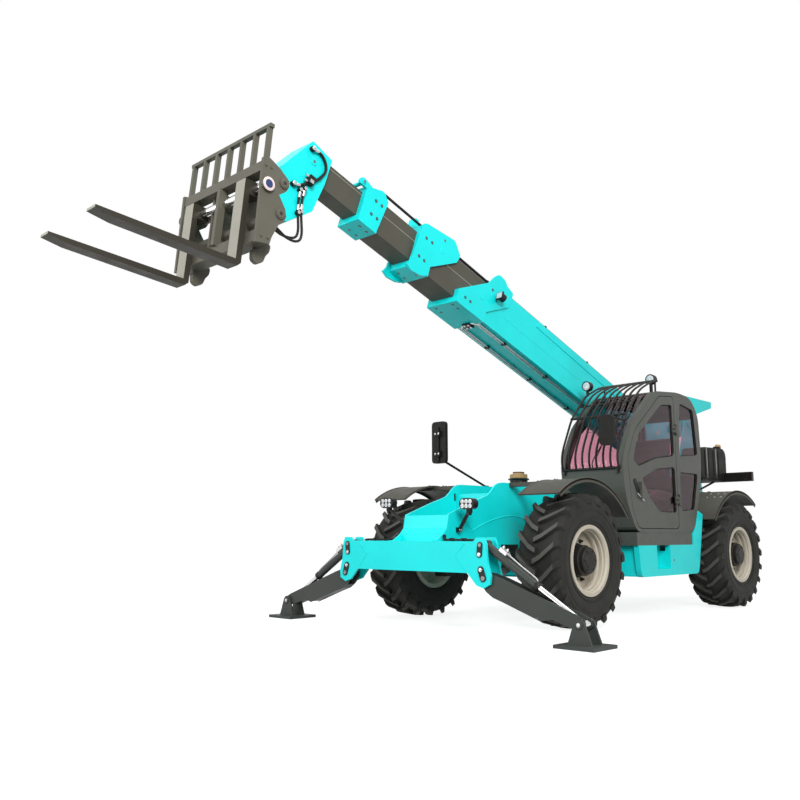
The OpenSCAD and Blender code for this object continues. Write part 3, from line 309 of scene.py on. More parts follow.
wheel_low, wheel_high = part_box("tyre_front_left")
SHIFT = (wheel_low.x + wheel_high.x) / 2 - WHEEL_X / 1000


def at(x, y, z):
    return Vector((x / 1000 + SHIFT, y / 1000, z / 1000))


def tilted(origin, angle):
    """Places u along a line that rises by angle from origin, and v square to it."""
    x0, z0 = origin
    ca, sa = math.cos(math.radians(angle)), math.sin(math.radians(angle))

    def put(u, y, v):
        return at(x0 + u * ca - v * sa, y, z0 + u * sa + v * ca)
    return put


def swung(pin, drop, side):
    """Places y outwards along an arm that drops from its pin on one side, and z square to it."""
    y0, z0 = pin
    ca, sa = math.cos(math.radians(drop)), math.sin(math.radians(drop))

    def put(x, y, z):
        return at(LEG_X + x, side * (y0 + y * ca + z * sa), z0 - y * sa + z * ca)
    return put


def beam_face(face, out, side):
    """Places on the beam's front or back: y outwards, t out of the face, z up."""
    def put(y, t, z):
        return at(face + out * t, side * y, z)
    return put


boom = tilted(BOOM_PIVOT, BOOM_ANGLE)
carriage = tilted(TILT_PIN, CARRIAGE_LEAN)
BOOM_ALONG = boom(1, 0, 0) - boom(0, 0, 0)
BOOM_DOWN = boom(0, 0, -1) - boom(0, 0, 0)
CARRIAGE_ALONG = carriage(1, 0, 0) - carriage(0, 0, 0)


# Small parts, gathered into one mesh for each body and look; radii and sizes are in millimetres

kits = {}


def kit(body, look):
    if (body, look) not in kits:
        kits[body, look] = bmesh.new()
    return kits[body, look]


def turn_angles(n):
    return [TURN * k / n for k in range(n)]


def join_rings(bm, a, b, n):
    """Faces between two rings of n vertices, either of which may be one point."""
    for i in range(n):
        j = (i + 1) % n
        if len(a) == 1:
            bm.faces.new((a[0], b[j], b[i]))
        elif len(b) == 1:
            bm.faces.new((a[i], a[j], b[0]))
        else:
            bm.faces.new((a[i], a[j], b[j], b[i]))


def skin(bm, rings, n, closed):
    """Faces along a row of rings, which is closed or has an end face at each open end."""
    for a, b in zip(rings, rings[1:] + (rings[:1] if closed else [])):
        join_rings(bm, a, b, n)
    if closed:
        return
    if len(rings[0]) > 1:
        bm.faces.new(rings[0][::-1])
    if len(rings[-1]) > 1:
        bm.faces.new(rings[-1])


def lathe(bm, origin, axis, profile, n=20, closed=False):
    """A turned form; profile is (radius, height) along the axis, or a closed ring."""
    w = axis.normalized()
    u = (UP if abs(w.z) < 0.9 else FRONT).cross(w).normalized()
    v = w.cross(u)
    rings = []
    for r, h in profile:
        mid = origin + w * (h / 1000)
        if r < 1e-6:
            rings.append([bm.verts.new(mid)])
            continue
        spokes = [u * math.cos(a) + v * math.sin(a) for a in turn_angles(n)]
        rings.append([bm.verts.new(mid + d * (r / 1000)) for d in spokes])
    skin(bm, rings, n, closed)


def disc(bm, p, axis, r, h, n=24, edge=1.5):
    lathe(bm, p, axis, [(r, -1), (r, h - edge), (r - edge, h), (0, h)], n)


def bolt(body, p, axis, r=11, look="zinc"):
    """Hexagon head on a round washer."""
    disc(kit(body, look), p, axis, r * 1.55, r * 0.28, 20, 0.6)
    lathe(kit(body, look), p, axis, [(r, 0), (r, r * 0.85), (r * 0.84, r), (0, r)], 6)


def sunk_screw(body, p, axis, r=17):
    """Socket screw in its counterbore: the counterbore's shade is painted as a flat dark ring on the
    surface, with a bright head on it.
    """
    disc(kit(body, "black"), p, axis, r, 1.2, 20, 0.4)
    lathe(kit(body, "steel"), p, axis, [(r * 0.55, 0), (r * 0.55, 2.4), (r * 0.4, 4), (0, 4)], 16)


def smoothed(points, steps):
    """Points on a smooth curve through the given ones (Catmull-Rom)."""
    last = len(points) - 1
    fine = []
    for i in range(last):
        a, b, c, d = points[max(i - 1, 0)], points[i], points[i + 1], points[min(i + 2, last)]
        for k in range(steps):
            s = k / steps
            fine.append(0.5 * (2 * b + (c - a) * s + (2 * a - 5 * b + 4 * c - d) * s * s
                               + (3 * b - a - 3 * c + d) * s ** 3))
    return fine + [points[last]]


def tube(bm, points, r, n=10, smooth=1, closed=False):
    """A round line through points of the row frame, open and smoothed or a closed ring."""
    if smooth > 1:
        points = smoothed(points, smooth)
    m = len(points)
    tangents = []
    for i in range(m):
        a = points[(i - 1) % m] if closed else points[max(i - 1, 0)]
        b = points[(i + 1) % m] if closed else points[min(i + 1, m - 1)]
        tangents.append((b - a).normalized())
    u = tangents[0].orthogonal().normalized()
    rings = []
    for p, w in zip(points, tangents):
        u = (u - w * u.dot(w)).normalized()
        v = w.cross(u)
        spokes = [u * math.cos(a) + v * math.sin(a) for a in turn_angles(n)]
        rings.append([bm.verts.new(p + d * (r / 1000)) for d in spokes])
    skin(bm, rings, n, closed)


def weld(body, points, r=5, look="teal", smooth=1):
    tube(kit(body, look), points, r, 8, smooth)


def prism(bm, put, outline, t0, t1, bevel=0.0):
    """An outline of (a, b) pushed from t0 to t1, placed by put(a, t, b)."""
    low = [bm.verts.new(put(a, t0, b)) for a, b in outline]
    high = [bm.verts.new(put(a, t1, b)) for a, b in outline]
    n = len(outline)
    faces = [bm.faces.new(low[::-1]), bm.faces.new(high)]
    for i in range(n):
        j = (i + 1) % n
        faces.append(bm.faces.new((low[i], low[j], high[j], high[i])))
    if bevel:
        edges = list(dict.fromkeys(e for f in faces for e in f.edges))
        bmesh.ops.bevel(bm, geom=edges, offset=bevel / 1000, segments=2, affect="EDGES", clamp_overlap=True)


def block(bm, put, a0, a1, t0, t1, b0, b1, bevel=0.0):
    prism(bm, put, [(a0, b0), (a1, b0), (a1, b1), (a0, b1)], t0, t1, bevel)


def oval(p, q, r, n=10):
    """Outline of a plate with round ends at p and q."""
    ang = math.atan2(q[1] - p[1], q[0] - p[0])
    out = []
    for c, start in ((p, ang + math.pi / 2), (q, ang - math.pi / 2)):
        angles = [start + math.pi * k / n for k in range(n + 1)]
        out += [(c[0] + r * math.cos(a), c[1] + r * math.sin(a)) for a in angles]
    return out


def arc(x0, z0, r, angles):
    """Points round (x0, z0), by angles from straight up towards the front."""
    return [(x0 + r * math.sin(a), z0 + r * math.cos(a)) for a in angles]


def eased_corner(a, b, c, d, n=4):
    a, b, c = Vector(a), Vector(b), Vector(c)
    p = b + (a - b) * min(d / (a - b).length, 0.45)
    q = b + (c - b) * min(d / (c - b).length, 0.45)
    steps = [k / n for k in range(n + 1)]
    curve = [p * (1 - s) ** 2 + b * 2 * s * (1 - s) + q * s ** 2 for s in steps]
    return [(e.x, e.y) for e in curve]


def eased(points, d):
    """Closed outline with eased corners."""
    m = len(points)
    corners = [eased_corner(points[i - 1], points[i], points[(i + 1) % m], d) for i in range(m)]
    return [e for corner in corners for e in corner]


# Boom

def outer_section():
    collar, wall = 198, 180
    eye_u, eye_v = 650, -470
    edge = ((4003, -284), (4005, -366), (4039, -474), (4490, -807))
    doubler = [(1150, -340), (3440, -340), (3506, -414), (1150, -458)]
    for s in SIDES:
        for u, v in ((4705, -733), (4621, -734), (4329, -427)):
            sunk_screw("boom", boom(u, s * collar, v), s * LEFT)
        disc(kit("boom", "teal"), boom(4462, s * collar, -587), s * LEFT, 34, 3, 28)
        weld("boom", [boom(u, s * (wall + 1), v) for u, v in edge], 6)
        weld("boom", [boom(u, s * wall, -608) for u in (1160, 4060)], 1.6)
        prism(kit("boom", "teal"), boom, doubler, s * (wall - 0.5), s * (wall + 6), 1.5)
        weld("boom", [boom(1152, s * wall, v) for v in (-338, -812)])
        disc(kit("boom", "teal"), boom(eye_u, s * (wall - 1), eye_v), s * LEFT, 78, 12, 32, 3)
        bolt("boom", boom(eye_u, s * (wall + 11), eye_v), s * LEFT, 16)
        # hard pipes under the section, with their clamps
        for y in (96, 124):
            straight = [boom(u, s * y, -835) for u in (1180, 2700, 4230)]
            bend = [boom(4330, s * y, -838), boom(4385, s * 66, -838), boom(4400, s * 46, -838)]
            tube(kit("boom", "zinc"), straight + bend, 8, smooth=4)
        for u in (1500, 2300, 3100, 3900):
            block(kit("boom", "black"), boom, u - 18, u + 18, s * 82, s * 138, -846, -819, 3)
    # the block where the pipes end, and the screws under the collar
    block(kit("boom", "black"), boom, 4330, 4420, -52, 52, -858, -819, 6)
    for u, y in product((4352, 4398), (-25, 25)):
        bolt("boom", boom(u, y, -858), BOOM_DOWN, 9)
    for u, y in product((4690, 4770), (-112, 112)):
        sunk_screw("boom", boom(u, y, -838), BOOM_DOWN, 15)


def extension_cylinder():
    gland = [(50, 0), (57, 4), (57, 56), (50, 60)]
    for y in (46, -46):
        tube(kit("boom", "steel"), [boom(u, y, -246) for u in (700, 2400, 4180)], 8, smooth=2)
    lathe(kit("boom", "section"), boom(4200, 0, -270), BOOM_ALONG, gland, 32)


def boom_lamp():
    block(kit("boom", "black"), boom, 4262, 4284, 216, 304, -522, -434, 7)
    block(kit("boom", "lens"), boom, 4280, 4288, 226, 294, -512, -444, 3)


def top_pipes():
    tube(kit("boom", "pipe"), [boom(u, 140, -310) for u in (1250, 2700, 4200)], 15, 12, 2)
    for u in (1500, 2400, 3300, 4100):
        block(kit("boom", "black"), boom, u - 15, u + 15, 118, 162, -331, -292, 3)
    tube(kit("section_2", "hose"), [boom(u, 90, -300) for u in (4330, 4700, 5060)], 14, 12, 2)
    block(kit("section_2", "black"), boom, 5040, 5080, 73, 105, -373, -282, 4)
    tube(kit("section_3", "hose"), [boom(u, 124, -330) for u in (5320, 5650, 5990)], 13, 12, 2)


def inner_sections():
    """Collar screws, caps, and a pale strip along each inner section's seam that is a painted highlight."""
    collar_2, collar_3 = 170, 140
    screws_2 = ((5376, -443), (5289, -441), (5413, -673), (5335, -678))
    screws_3 = ((6060, -466), (5981, -467), (6073, -620), (5995, -621))
    seam_highlights = (("section_2", 1700, 5230, 145, -522), ("section_3", 2200, 5950, 115, -525),
             ("section_4", 2750, 6640, 90, -480))
    for s in SIDES:
        for u, v in screws_2:
            sunk_screw("section_2", boom(u, s * collar_2, v), s * LEFT)
        disc(kit("section_2", "steel"), boom(5129, s * collar_2, -315), s * LEFT, 15, 1.2, 20, 0.4)
        disc(kit("section_2", "teal"), boom(5133, s * collar_2, -442), s * LEFT, 30, 3, 28)
        for u, v in screws_3:
            sunk_screw("section_3", boom(u, s * collar_3, v), s * LEFT)
        disc(kit("section_3", "steel"), boom(6248, s * 149, -382), s * LEFT, 15, 2, 20, 0.5)
        # painted highlight: a thin pale strip on each section wall, along its seam
        for body, u0, u1, wall, v in seam_highlights:
            block(kit(body, "seam"), boom, u0, u1, s * (wall - 0.5), s * (wall + 0.3), v - 3, v + 3)
        disc(kit("section_4", "teal"), boom(6820, s * 152, -585), s * LEFT, 34, 6, 28, 2)
        disc(kit("section_4", "steel"), boom(6820, s * 158, -585), s * LEFT, 15, 2, 20, 0.5)
    for u, y in product((5310, 5400), (-80, 80)):
        sunk_screw("section_2", boom(u, y, -802.5), BOOM_DOWN, 14)
    for u, y in product((6020, 6110), (-70, 70)):
        sunk_screw("section_3", boom(u, y, -762.5), BOOM_DOWN, 14)
    # the head's top rises by 33 over 240
    for u, y in product((6700, 6830), (-120, 120)):
        sunk_screw("section_4", boom(u, y, -445 + (u - 6650) / 240 * 33), -BOOM_DOWN, 11)


def head_fittings():
    """A union and a crimped sleeve at each hose end on the head, by its place, its way and its radius."""
    hose_y, union_y = 172, 186
    ends = ((6882, -498, 6833, -488, 24), (6959, -921, 6903, -900, 22), (6877, -933, 6856, -1048, 20),
            (6840, -895, 6828, -1000, 20), (6832, -1134, 6856, -1048, 19), (6803, -1110, 6828, -1000, 19))
    sleeve = [(16.5, 0), (16.5, 14), (14.6, 16), (14.6, 44), (13.4, 48)]
    port = [(13, 0), (13, 18), (10, 20), (10, 34), (0, 34)]
    for u, v, to_u, to_v, r in ends:
        union = [(r * 0.9, 0), (r * 0.9, 9), (r * 0.7, 12), (0, 12)]
        lathe(kit("section_4", "zinc"), boom(u, union_y, v), LEFT, union, 6)
        start = boom(u, hose_y, v)
        way = (boom(to_u, hose_y, to_v) - start).normalized()
        lathe(kit("section_4", "zinc"), start + way * 0.022, way, sleeve, 14)
    block(kit("section_4", "zinc"), boom, 6794, 6834, 200, 212, -826, -792, 2)
    for v in (-768, -816):
        lathe(kit("section_4", "zinc"), boom(6840, 180, v), BOOM_ALONG, port, 6)


def carriage_fittings():
    shaft_x, shaft_z, shaft_r = 300, -15, 33.5
    collar = [(54, 0), (54, 5), (48, 8), (34, 8), (34, 4), (0, 4)]
    hose_end = [(13.5, 0), (16.5, 3), (16.5, 22), (20, 24), (20, 44)]
    for s in SIDES:
        for x, z in ((150, 55), (155, -197)):
            disc(kit("carriage", "carriage"), carriage(x, s * 571, z), s * LEFT, 34, 6, 28, 3)
            disc(kit("carriage", "fork"), carriage(x, s * 577, z), s * LEFT, 15, 2, 24, 1)
        lathe(kit("carriage", "ring"), carriage(shaft_x, s * 581, shaft_z), s * LEFT, collar, 32)
        disc(kit("carriage", "blue"), carriage(shaft_x, s * 585, shaft_z), s * LEFT, 33, 3, 28, 1)
        disc(kit("carriage", "carriage"), carriage(0, s * 190, 0), s * LEFT, 58, 8, 32, 2)
        bolt("carriage", carriage(0, s * 198, 0), s * LEFT, 14)
        for y0, y1 in ((24, 291), (421, 533)):
            bright = [(shaft_r, 0), (shaft_r, y1 - y0)]
            lathe(kit("carriage", "chrome"), carriage(shaft_x, s * y0, shaft_z), s * LEFT, bright, 28)
        for x, z in ((240, -425), (300, -425), (280, 134), (330, 134)):
            bolt("carriage", carriage(x, s * 560, z), s * LEFT, 9, "carriage")
    for y in (330, 370):
        lathe(kit("carriage", "zinc"), carriage(72, y, -197), CARRIAGE_ALONG, hose_end, 14)


# Chassis

def boom_pivot():
    pivot_x, pivot_z = BOOM_PIVOT
    cap = [(112, 0), (112, 12), (104, 17), (62, 17), (58, 24), (0, 24)]
    for s in SIDES:
        lathe(kit("chassis", "teal"), at(pivot_x, s * 279, pivot_z), s * LEFT, cap, 40)
        for k in range(6):
            a = math.radians(60 * k + 30)
            p = at(pivot_x + 84 * math.cos(a), s * 296, pivot_z + 84 * math.sin(a))
            bolt("chassis", p, s * LEFT, 9)


def nose():
    plate = 281
    curve = ((2349, 898), (2158, 971), (1919, 1031), (1671, 1055), (1458, 1021))
    for s in SIDES:
        weld("chassis", [at(x, s * plate, z) for x, z in curve], smooth=6)
        weld("chassis", [at(2519, s * plate, 1076), at(2312, s * plate, 899)])
    prism(kit("chassis", "black"), at, oval((1948, 1225), (1948, 1275), 15), -260.6, -259.4)
    for x, s in product((2150, 2330), SIDES):
        bolt("chassis", at(x, s * 280, 760), s * LEFT, 14, "teal")


def front_beam():
    """Pin locks and welds on the beam, and the hoses along it to the stabilisers."""
    corner = ((665, 788), (562, 690), (668, 566))
    run = ((350, 823), (480, 822), (610, 822), (682, 820), (704, 806))
    union = [(17, 0), (17, 9), (13, 11), (0, 11)]
    for s in SIDES:
        for face, out in ((BEAM_FRONT, 1), (BEAM_BACK, -1)):
            put = beam_face(face, out, s)
            for pin, far, r in ((RAM_PIN, (832, 700), 27), (LEG_PIN, (846, 572), 31)):
                prism(kit("chassis", "black"), put, oval(pin, far, r), -1, 9, 1.5)
                disc(kit("chassis", "steel"), put(pin[0], 8, pin[1]), out * FRONT, r - 11, 3, 24, 1)
                bolt("chassis", put(far[0], 9, far[1]), out * FRONT)
        weld("chassis", [at(BEAM_FRONT, s * y, z) for y, z in corner], 4)
        for y in (270, 640):
            weld("chassis", [at(BEAM_FRONT, s * y, z) for z in (806, 752)], 4)
        for k in (0, 1):
            x = 2782 + 30 * k
            rise = [at(2760, s * (292 + 16 * k), 868), at(2768, s * (300 + 16 * k), 838)]
            tube(kit("chassis", "hose"), rise + [at(x, s * y, z) for y, z in run], 10, smooth=4)
            lathe(kit("chassis", "zinc"), at(x, s * 704, 808), UP, union, 6)
        for y in (420, 560):
            block(kit("chassis", "black"), at, 2764, 2830, s * (y - 12), s * (y + 12), 809, 838, 3)


def nose_lamp(y, z, foot):
    """Work lamp with six lenses and cooling fins, on a post whose foot is at y = foot."""
    def put(a, t, b):
        return at(2640 + t, y + a, z + b)
    reflector = [(19, -1), (19, 3), (16, 3), (15, 1), (0, 1)]
    lens = [(14.5, 0), (13, 4), (8, 7), (0, 8)]
    knuckle = [(26, -22), (30, -16), (30, 14), (24, 20)]
    prism(kit("chassis", "black"), put, oval((-38, 0), (38, 0), 52), -6, 5, 2)
    for a, b in product((-46, 0, 46), (-21, 21)):
        lathe(kit("chassis", "zinc"), put(a, 5, b), FRONT, reflector, 18)
        lathe(kit("chassis", "lens"), put(a, 5, b), FRONT, lens, 16)
    block(kit("chassis", "black"), at, 2560, 2580, y - 60, y + 60, z - 30, z + 30, 6)
    for k in range(5):
        fin = y - 48 + 24 * k
        block(kit("chassis", "black"), at, 2548, 2562, fin - 3, fin + 3, z - 36, z + 36, 1)
    tube(kit("chassis", "black"), [at(2556, foot, 914), at(2600, y, z - 60)], 18, 14)
    lathe(kit("chassis", "black"), at(2600, y, z - 62), UP, knuckle, 20)
    s = 1 if foot > 0 else -1
    bolt("chassis", at(2555, foot + s * 14, 914), s * LEFT, 14)


def lamps():
    for y, z, foot in ((467, 1149, 310), (-572, 1182, -310)):
        nose_lamp(y, z, foot)
    shell = [(58, -14), (58, 5), (54, 8), (48, 8), (47, 2), (0, 2)]
    lens = [(46.5, 2), (46, 5), (34, 10), (16, 12.5), (0, 13)]
    for x, y, z in ((345, 360, 2544), (-80, 930, 2609)):
        lathe(kit("chassis", "black"), at(x, y, z), FRONT, shell, 32)
        lathe(kit("chassis", "lens"), at(x, y, z), FRONT, lens, 32)
    for s in SIDES:
        for y0, y1, look in ((880, 1040, "red"), (775, 865, "amber"), (700, 760, "lens")):
            block(kit("chassis", look), at, -2544, -2529, s * y0, s * y1, 1588, 1654, 5)


def mirrors():
    block(kit("chassis", "mirror"), at, 977.5, 981, 917, 1063, 1786, 2068, 1)
    for low, high in ((1800, 2108), (1668, 1784)):
        block(kit("chassis", "mirror"), at, 1542.5, 1546, -893, -712, low, high, 1)
    tube(kit("chassis", "plastic"), [at(1598, -800, 1668), at(1598, -800, 2060)], 13, 12)
    for z in (1760, 1985):
        block(kit("chassis", "plastic"), at, 1580, 1618, -838, -762, z - 34, z + 34, 5)
        for y in (-824, -776):
            bolt("chassis", at(1618, y, z), FRONT, 7)
    block(kit("chassis", "plastic"), at, 1000, 1014, 940, 1040, 1860, 1990, 6)


def fenders():
    """Turned-down lip, rolled edges and bolts; fore and aft are how far each fender reaches, in degrees."""
    z0, skin_r, lip_r, top_r = 495, 899, 864, 900
    steps = 28
    for x0, fore, aft in ((WHEEL_X, 34, 52), (-WHEEL_X, 52, 34)):
        angles = [math.radians(-aft + (fore + aft) * k / steps) for k in range(steps + 1)]
        lip = arc(x0, z0, skin_r, angles) + arc(x0, z0, lip_r, angles)[::-1]
        for s in SIDES:
            prism(kit("chassis", "fender"), at, lip, s * 1181, s * 1190)
            for y, r in ((1186, 866), (1184, 901), (752, 898)):
                tube(kit("chassis", "fender"), [at(x, s * y, z) for x, z in arc(x0, z0, r, angles)], 7, 8)
            if x0 < 0:
                for a, y in product((math.radians(17), math.radians(25)), (960, 1050, 1130)):
                    p = at(x0 + top_r * math.sin(a), s * y, z0 + top_r * math.cos(a))
                    bolt("chassis", p, Vector((math.sin(a), 0, math.cos(a))), 9)
            # on the bracket and, further out, on the fender itself
            for dx, (y, z) in product((-22, 22), ((420, 1386), (620, 1386), (820, 1395))):
                bolt("chassis", at(x0 + dx, s * y, z), UP, 9, "fender")


def oil_tank():
    for x in (-2300, -2150, -2000, -1900):
        block(kit("chassis", "plastic"), at, x - 9, x + 9, 698, 706, 1625, 1955, 3)
    for x in (-2225, -1950):
        block(kit("chassis", "steel"), at, x - 18, x + 18, 698, 704, 1590, 1985, 1)
    lean_back = math.radians(20)
    neck = Vector((-math.sin(lean_back), 0, math.cos(lean_back)))
    cap = [(33, 34), (39, 36), (39, 62), (34, 72), (0, 74)]
    lathe(kit("chassis", "tan"), at(-2430, 640, 1985), neck, cap, 24)


def pre_cleaner():
    x, y = 150, -760
    base = [(106, 0), (108, 2), (108, 58), (126, 66), (132, 74), (126, 82), (107, 88)]
    lid = [(70, 18), (73, 19), (73, 26), (66, 30), (0, 30)]
    lathe(kit("chassis", "black"), at(x, y, 1466), UP, base, 48)
    for a in turn_angles(24):
        foot = at(x + 105 * math.cos(a), y + 105 * math.sin(a), 1550)
        tube(kit("chassis", "tan"), [foot, foot + UP * 0.046], 4, 6)
    lathe(kit("chassis", "black"), at(x, y, 1600), UP, lid, 36)


def side_box():
    disc(kit("chassis", "steel"), at(-216, 1050, 591), LEFT, 13, 2, 20, 0.5)
    block(kit("chassis", "teal"), at, -129, 169, 919, 926, 499, 756)
    for x in (300, 20, -260, -560):
        sunk_screw("chassis", at(x, 1046, 800), LEFT, 9)


# Cab

def window_seal(body, outline, y, corner):
    tube(kit(body, "seal"), [at(x, y, z) for x, z in eased(outline, corner)], 9, 8, closed=True)


def cab_windows():
    left_y, right_y = 1033, 317
    door_top = [(-330, 2330), (-60, 2300), (470, 1930), (600, 1660), (500, 1580), (100, 1690), (-330, 1745)]
    door_low = [(-330, 1620), (90, 1580), (430, 1460), (270, 1260), (60, 1110), (-330, 1110)]
    rear_top = [(-520, 2370), (-860, 2320), (-925, 1790), (-460, 1750)]
    rear_low = [(-450, 1570), (-905, 1570), (-770, 1150), (-450, 1130)]
    right = [(-40, 2330), (520, 1930), (690, 1650), (690, 1450), (-880, 1450), (-900, 2260), (-780, 2360)]
    for outline in (door_top, door_low):
        window_seal("door", outline, left_y, 50)
    for outline in (rear_top, rear_low):
        window_seal("chassis", outline, left_y, 50)
    window_seal("chassis", right, right_y, 60)


def door_handle():
    handle = [at(548, 1056, 1300), at(520, 1066, 1270), at(430, 1066, 1222)]
    tube(kit("door", "zinc"), handle, 5, 8, 3)


def door_latch():
    """Latch plate and hinge screws."""
    prism(kit("door", "black"), at, oval((585, 1425), (525, 1315), 26), 1049, 1058, 3)
    for z, x in product((1250, 2050), (-340, -318)):
        bolt("door", at(x, 1065, z), LEFT, 7, "black")


def screen_guard():
    """Nine upright round bars and four across, with the wiper behind them."""
    bars, first_y, pitch = 9, 338, 84.25
    side = [(838, 1560), (860, 1640), (842, 1758), (633.5, 2145), (326, 2433), (57.5, 2552), (-61, 2582)]
    line = [side[0]]
    for a, b, c in zip(side, side[1:], side[2:]):
        line += eased_corner(a, b, c, 90)
    line.append(side[-1])
    for i in range(bars):
        tube(kit("chassis", "black"), [at(x, first_y + pitch * i, z) for x, z in line], 12, 8)
    for x, z, r in ((833, 1554, 14), (632, 2136, 14), (480, 2290, 10), (-62, 2578, 16)):
        tube(kit("chassis", "black"), [at(x, 326, z), at(x, 1024, z)], r)
    arm = [at(812, 690, 1570), at(822, 700, 1640), at(745, 760, 1800)]
    tube(kit("chassis", "black"), arm, 6, 8, 4)
    tube(kit("chassis", "black"), [at(800, 740, 1690), at(690, 790, 1900)], 5, 8)


def cab_levers():
    y = 380
    knob = [(10, 0), (20, 14), (22, 34), (14, 48), (0, 52)]
    block(kit("chassis", "plastic"), at, -330, 60, y - 32, y + 32, 944, 1310, 12)
    tube(kit("chassis", "black"), [at(0, y, 1300), at(6, y, 1360), at(-2, y, 1420)], 9, smooth=4)
    lathe(kit("chassis", "black"), at(-2, y, 1415), UP, knob, 18)


# Engine side, rear and axles

def engine_side():
    for x in (-700, -200):
        block(kit("hood", "black"), at, x - 40, x + 40, -1146, -1139, 906, 936, 3)
    handle = ((-560, -1140), (-560, -1168), (-340, -1168), (-340, -1140))
    tube(kit("hood", "black"), [at(x, y, 1290) for x, y in handle], 8)
    for x, z in product((60, 640), (700, 1200)):
        bolt("chassis", at(x, -1120, z), -LEFT, 10, "teal")


def rear_end():
    tow_pin = [(19, 0), (19, 168), (30, 168), (30, 180), (0, 180)]
    lathe(kit("chassis", "zinc"), at(-3000, 0, 668), UP, tow_pin, 20)
    for y in (-380, 380):
        disc(kit("chassis", "black"), at(-2950, y, 1010), -FRONT, 46, 4, 32, 2)
        disc(kit("chassis", "steel"), at(-2954, y, 1010), -FRONT, 30, 2, 28, 1)


def axle_bolts():
    ring_r = 162
    for x0, out in product((WHEEL_X, -WHEEL_X), SIDES):
        for a in turn_angles(10):
            p = at(x0 + out * 150, ring_r * math.cos(a), WHEEL_Z + ring_r * math.sin(a))
            bolt("chassis", p, out * FRONT, 9, "hub")


# Wheels

def wheel(body, x0, s):
    """Sidewall ribs, stepped rim, disc with its studs, and hub cover."""
    mid, out = at(x0, s * WHEEL_Y, WHEEL_Z), s * LEFT
    rings = ([(287, 168), (277, 162), (277, 140), (287, 134)],
             [(287, 116), (272, 108), (272, 84), (287, 76)],
             [(287, 30), (287, 48), (262, 58), (206, 54), (138, 54), (138, 42), (206, 42), (255, 45)])
    cover = [(160, 52), (160, 62), (142, 66), (142, 148), (134, 156), (123, 158), (123, 190), (114, 199),
             (72, 202), (68, 207), (0, 207)]
    stud = [(19, 52), (19, 66), (16, 69), (11, 69), (11, 88), (9, 91), (0, 91)]
    for (r, y), way in product(((372, 216.5), (470, 225)), SIDES):
        rib_y = s * WHEEL_Y + way * y
        rib = [at(x0 + r * math.cos(a), rib_y, WHEEL_Z + r * math.sin(a)) for a in turn_angles(64)]
        tube(kit(body, "rubber"), rib, 3.5, 6, closed=True)
    for profile in rings:
        lathe(kit(body, "cream"), mid, out, profile, 64, True)
    lathe(kit(body, "hub"), mid, out, cover, 48)
    for a in turn_angles(10):
        lathe(kit(body, "hub"), mid + Vector((math.cos(a), 0, math.sin(a))) * 0.186, out, stud, 12)
    for a in turn_angles(6):
        bolt(body, mid + out * 0.2005 + Vector((math.cos(a), 0, math.sin(a))) * 0.094, out, 7, "hub")


def wheels():
    for end, x0 in (("front", WHEEL_X), ("rear", -WHEEL_X)):
        for side, s in (("left", 1), ("right", -1)):
            wheel(f"wheel_{end}_{side}", x0, s)


# Stabilisers

def stabiliser(side, s):
    """Pad pin ends, leg welds, and the cylinder's lock valve, pipe and gland."""
    leg, ram = swung(LEG_PIN, LEG_DROP, s), swung(RAM_PIN, RAM_DROP, s)
    along = (ram(0, 1, 0) - ram(0, 0, 0)).normalized()
    up = (ram(0, 0, 1) - ram(0, 0, 0)).normalized()
    pad, barrel = f"pad_{side}", f"leg_barrel_{side}"
    plug = [(14, 0), (14, 12), (9, 14), (9, 24), (0, 24)]
    pipe = ((246, 58), (300, 54), (420, 49), (540, 48), (590, 44), (604, 34))
    gland = [(40, 0), (41, 2), (41, 36), (38, 40)]
    for out in SIDES:
        p = at(LEG_X + out * 82, s * 1796.3, 180)
        disc(kit(pad, "leg"), p, out * FRONT, 34, 7, 28, 2)
        bolt(pad, p + out * FRONT * 0.007, out * FRONT)
        weld(f"leg_{side}", [leg(out * 56, y, -118) for y in (130, 640)], 4, "leg")
    block(kit(barrel, "zinc"), ram, -23, 23, 149, 237, 39, 77, 3)
    for y in (168, 215):
        lathe(kit(barrel, "zinc"), ram(0, y, 76), up, plug, 6)
    lathe(kit(barrel, "zinc"), ram(0, 236, 58), along, [(15, 0), (15, 22), (9, 24)], 6)
    tube(kit(barrel, "zinc"), [ram(0, y, z) for y, z in pipe], 7, 8, 4)
    lathe(kit(barrel, "black"), ram(0, 602, 0), along, gland, 32)


def stabilisers():
    for side, s in (("left", 1), ("right", -1)):
        stabiliser(side, s)


for dress in (outer_section, extension_cylinder, boom_lamp, top_pipes, inner_sections, head_fittings,
              carriage_fittings, boom_pivot, nose, front_beam, lamps, mirrors, fenders, oil_tank,
              pre_cleaner, side_box, door_handle, cab_windows, door_latch, screen_guard, cab_levers,
              engine_side, rear_end, axle_bolts, wheels, stabilisers):
    dress()


# Objects of the finished meshes

def add_object(name, data):
    obj = bpy.data.objects.new(name, data)
    scene.collection.objects.link(obj)
    return obj


def piece(name, bm, look, smooth=True, crease=None):
    """An object of a finished mesh; crease is the angle from which smooth faces meet sharply."""
    bmesh.ops.recalc_face_normals(bm, faces=bm.faces)
    mesh = bpy.data.meshes.new(name)
    bm.to_mesh(mesh)
    bm.free()
    mesh.materials.append(MAT[look])
    for f in mesh.polygons:
        f.use_smooth = smooth
    if crease:
        mesh.set_sharp_from_angle(angle=math.radians(crease))
    return add_object(name, mesh)


for (body, look), bm in kits.items():
    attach(piece(f"{body}_{look}_parts", bm, look, crease=38), body)
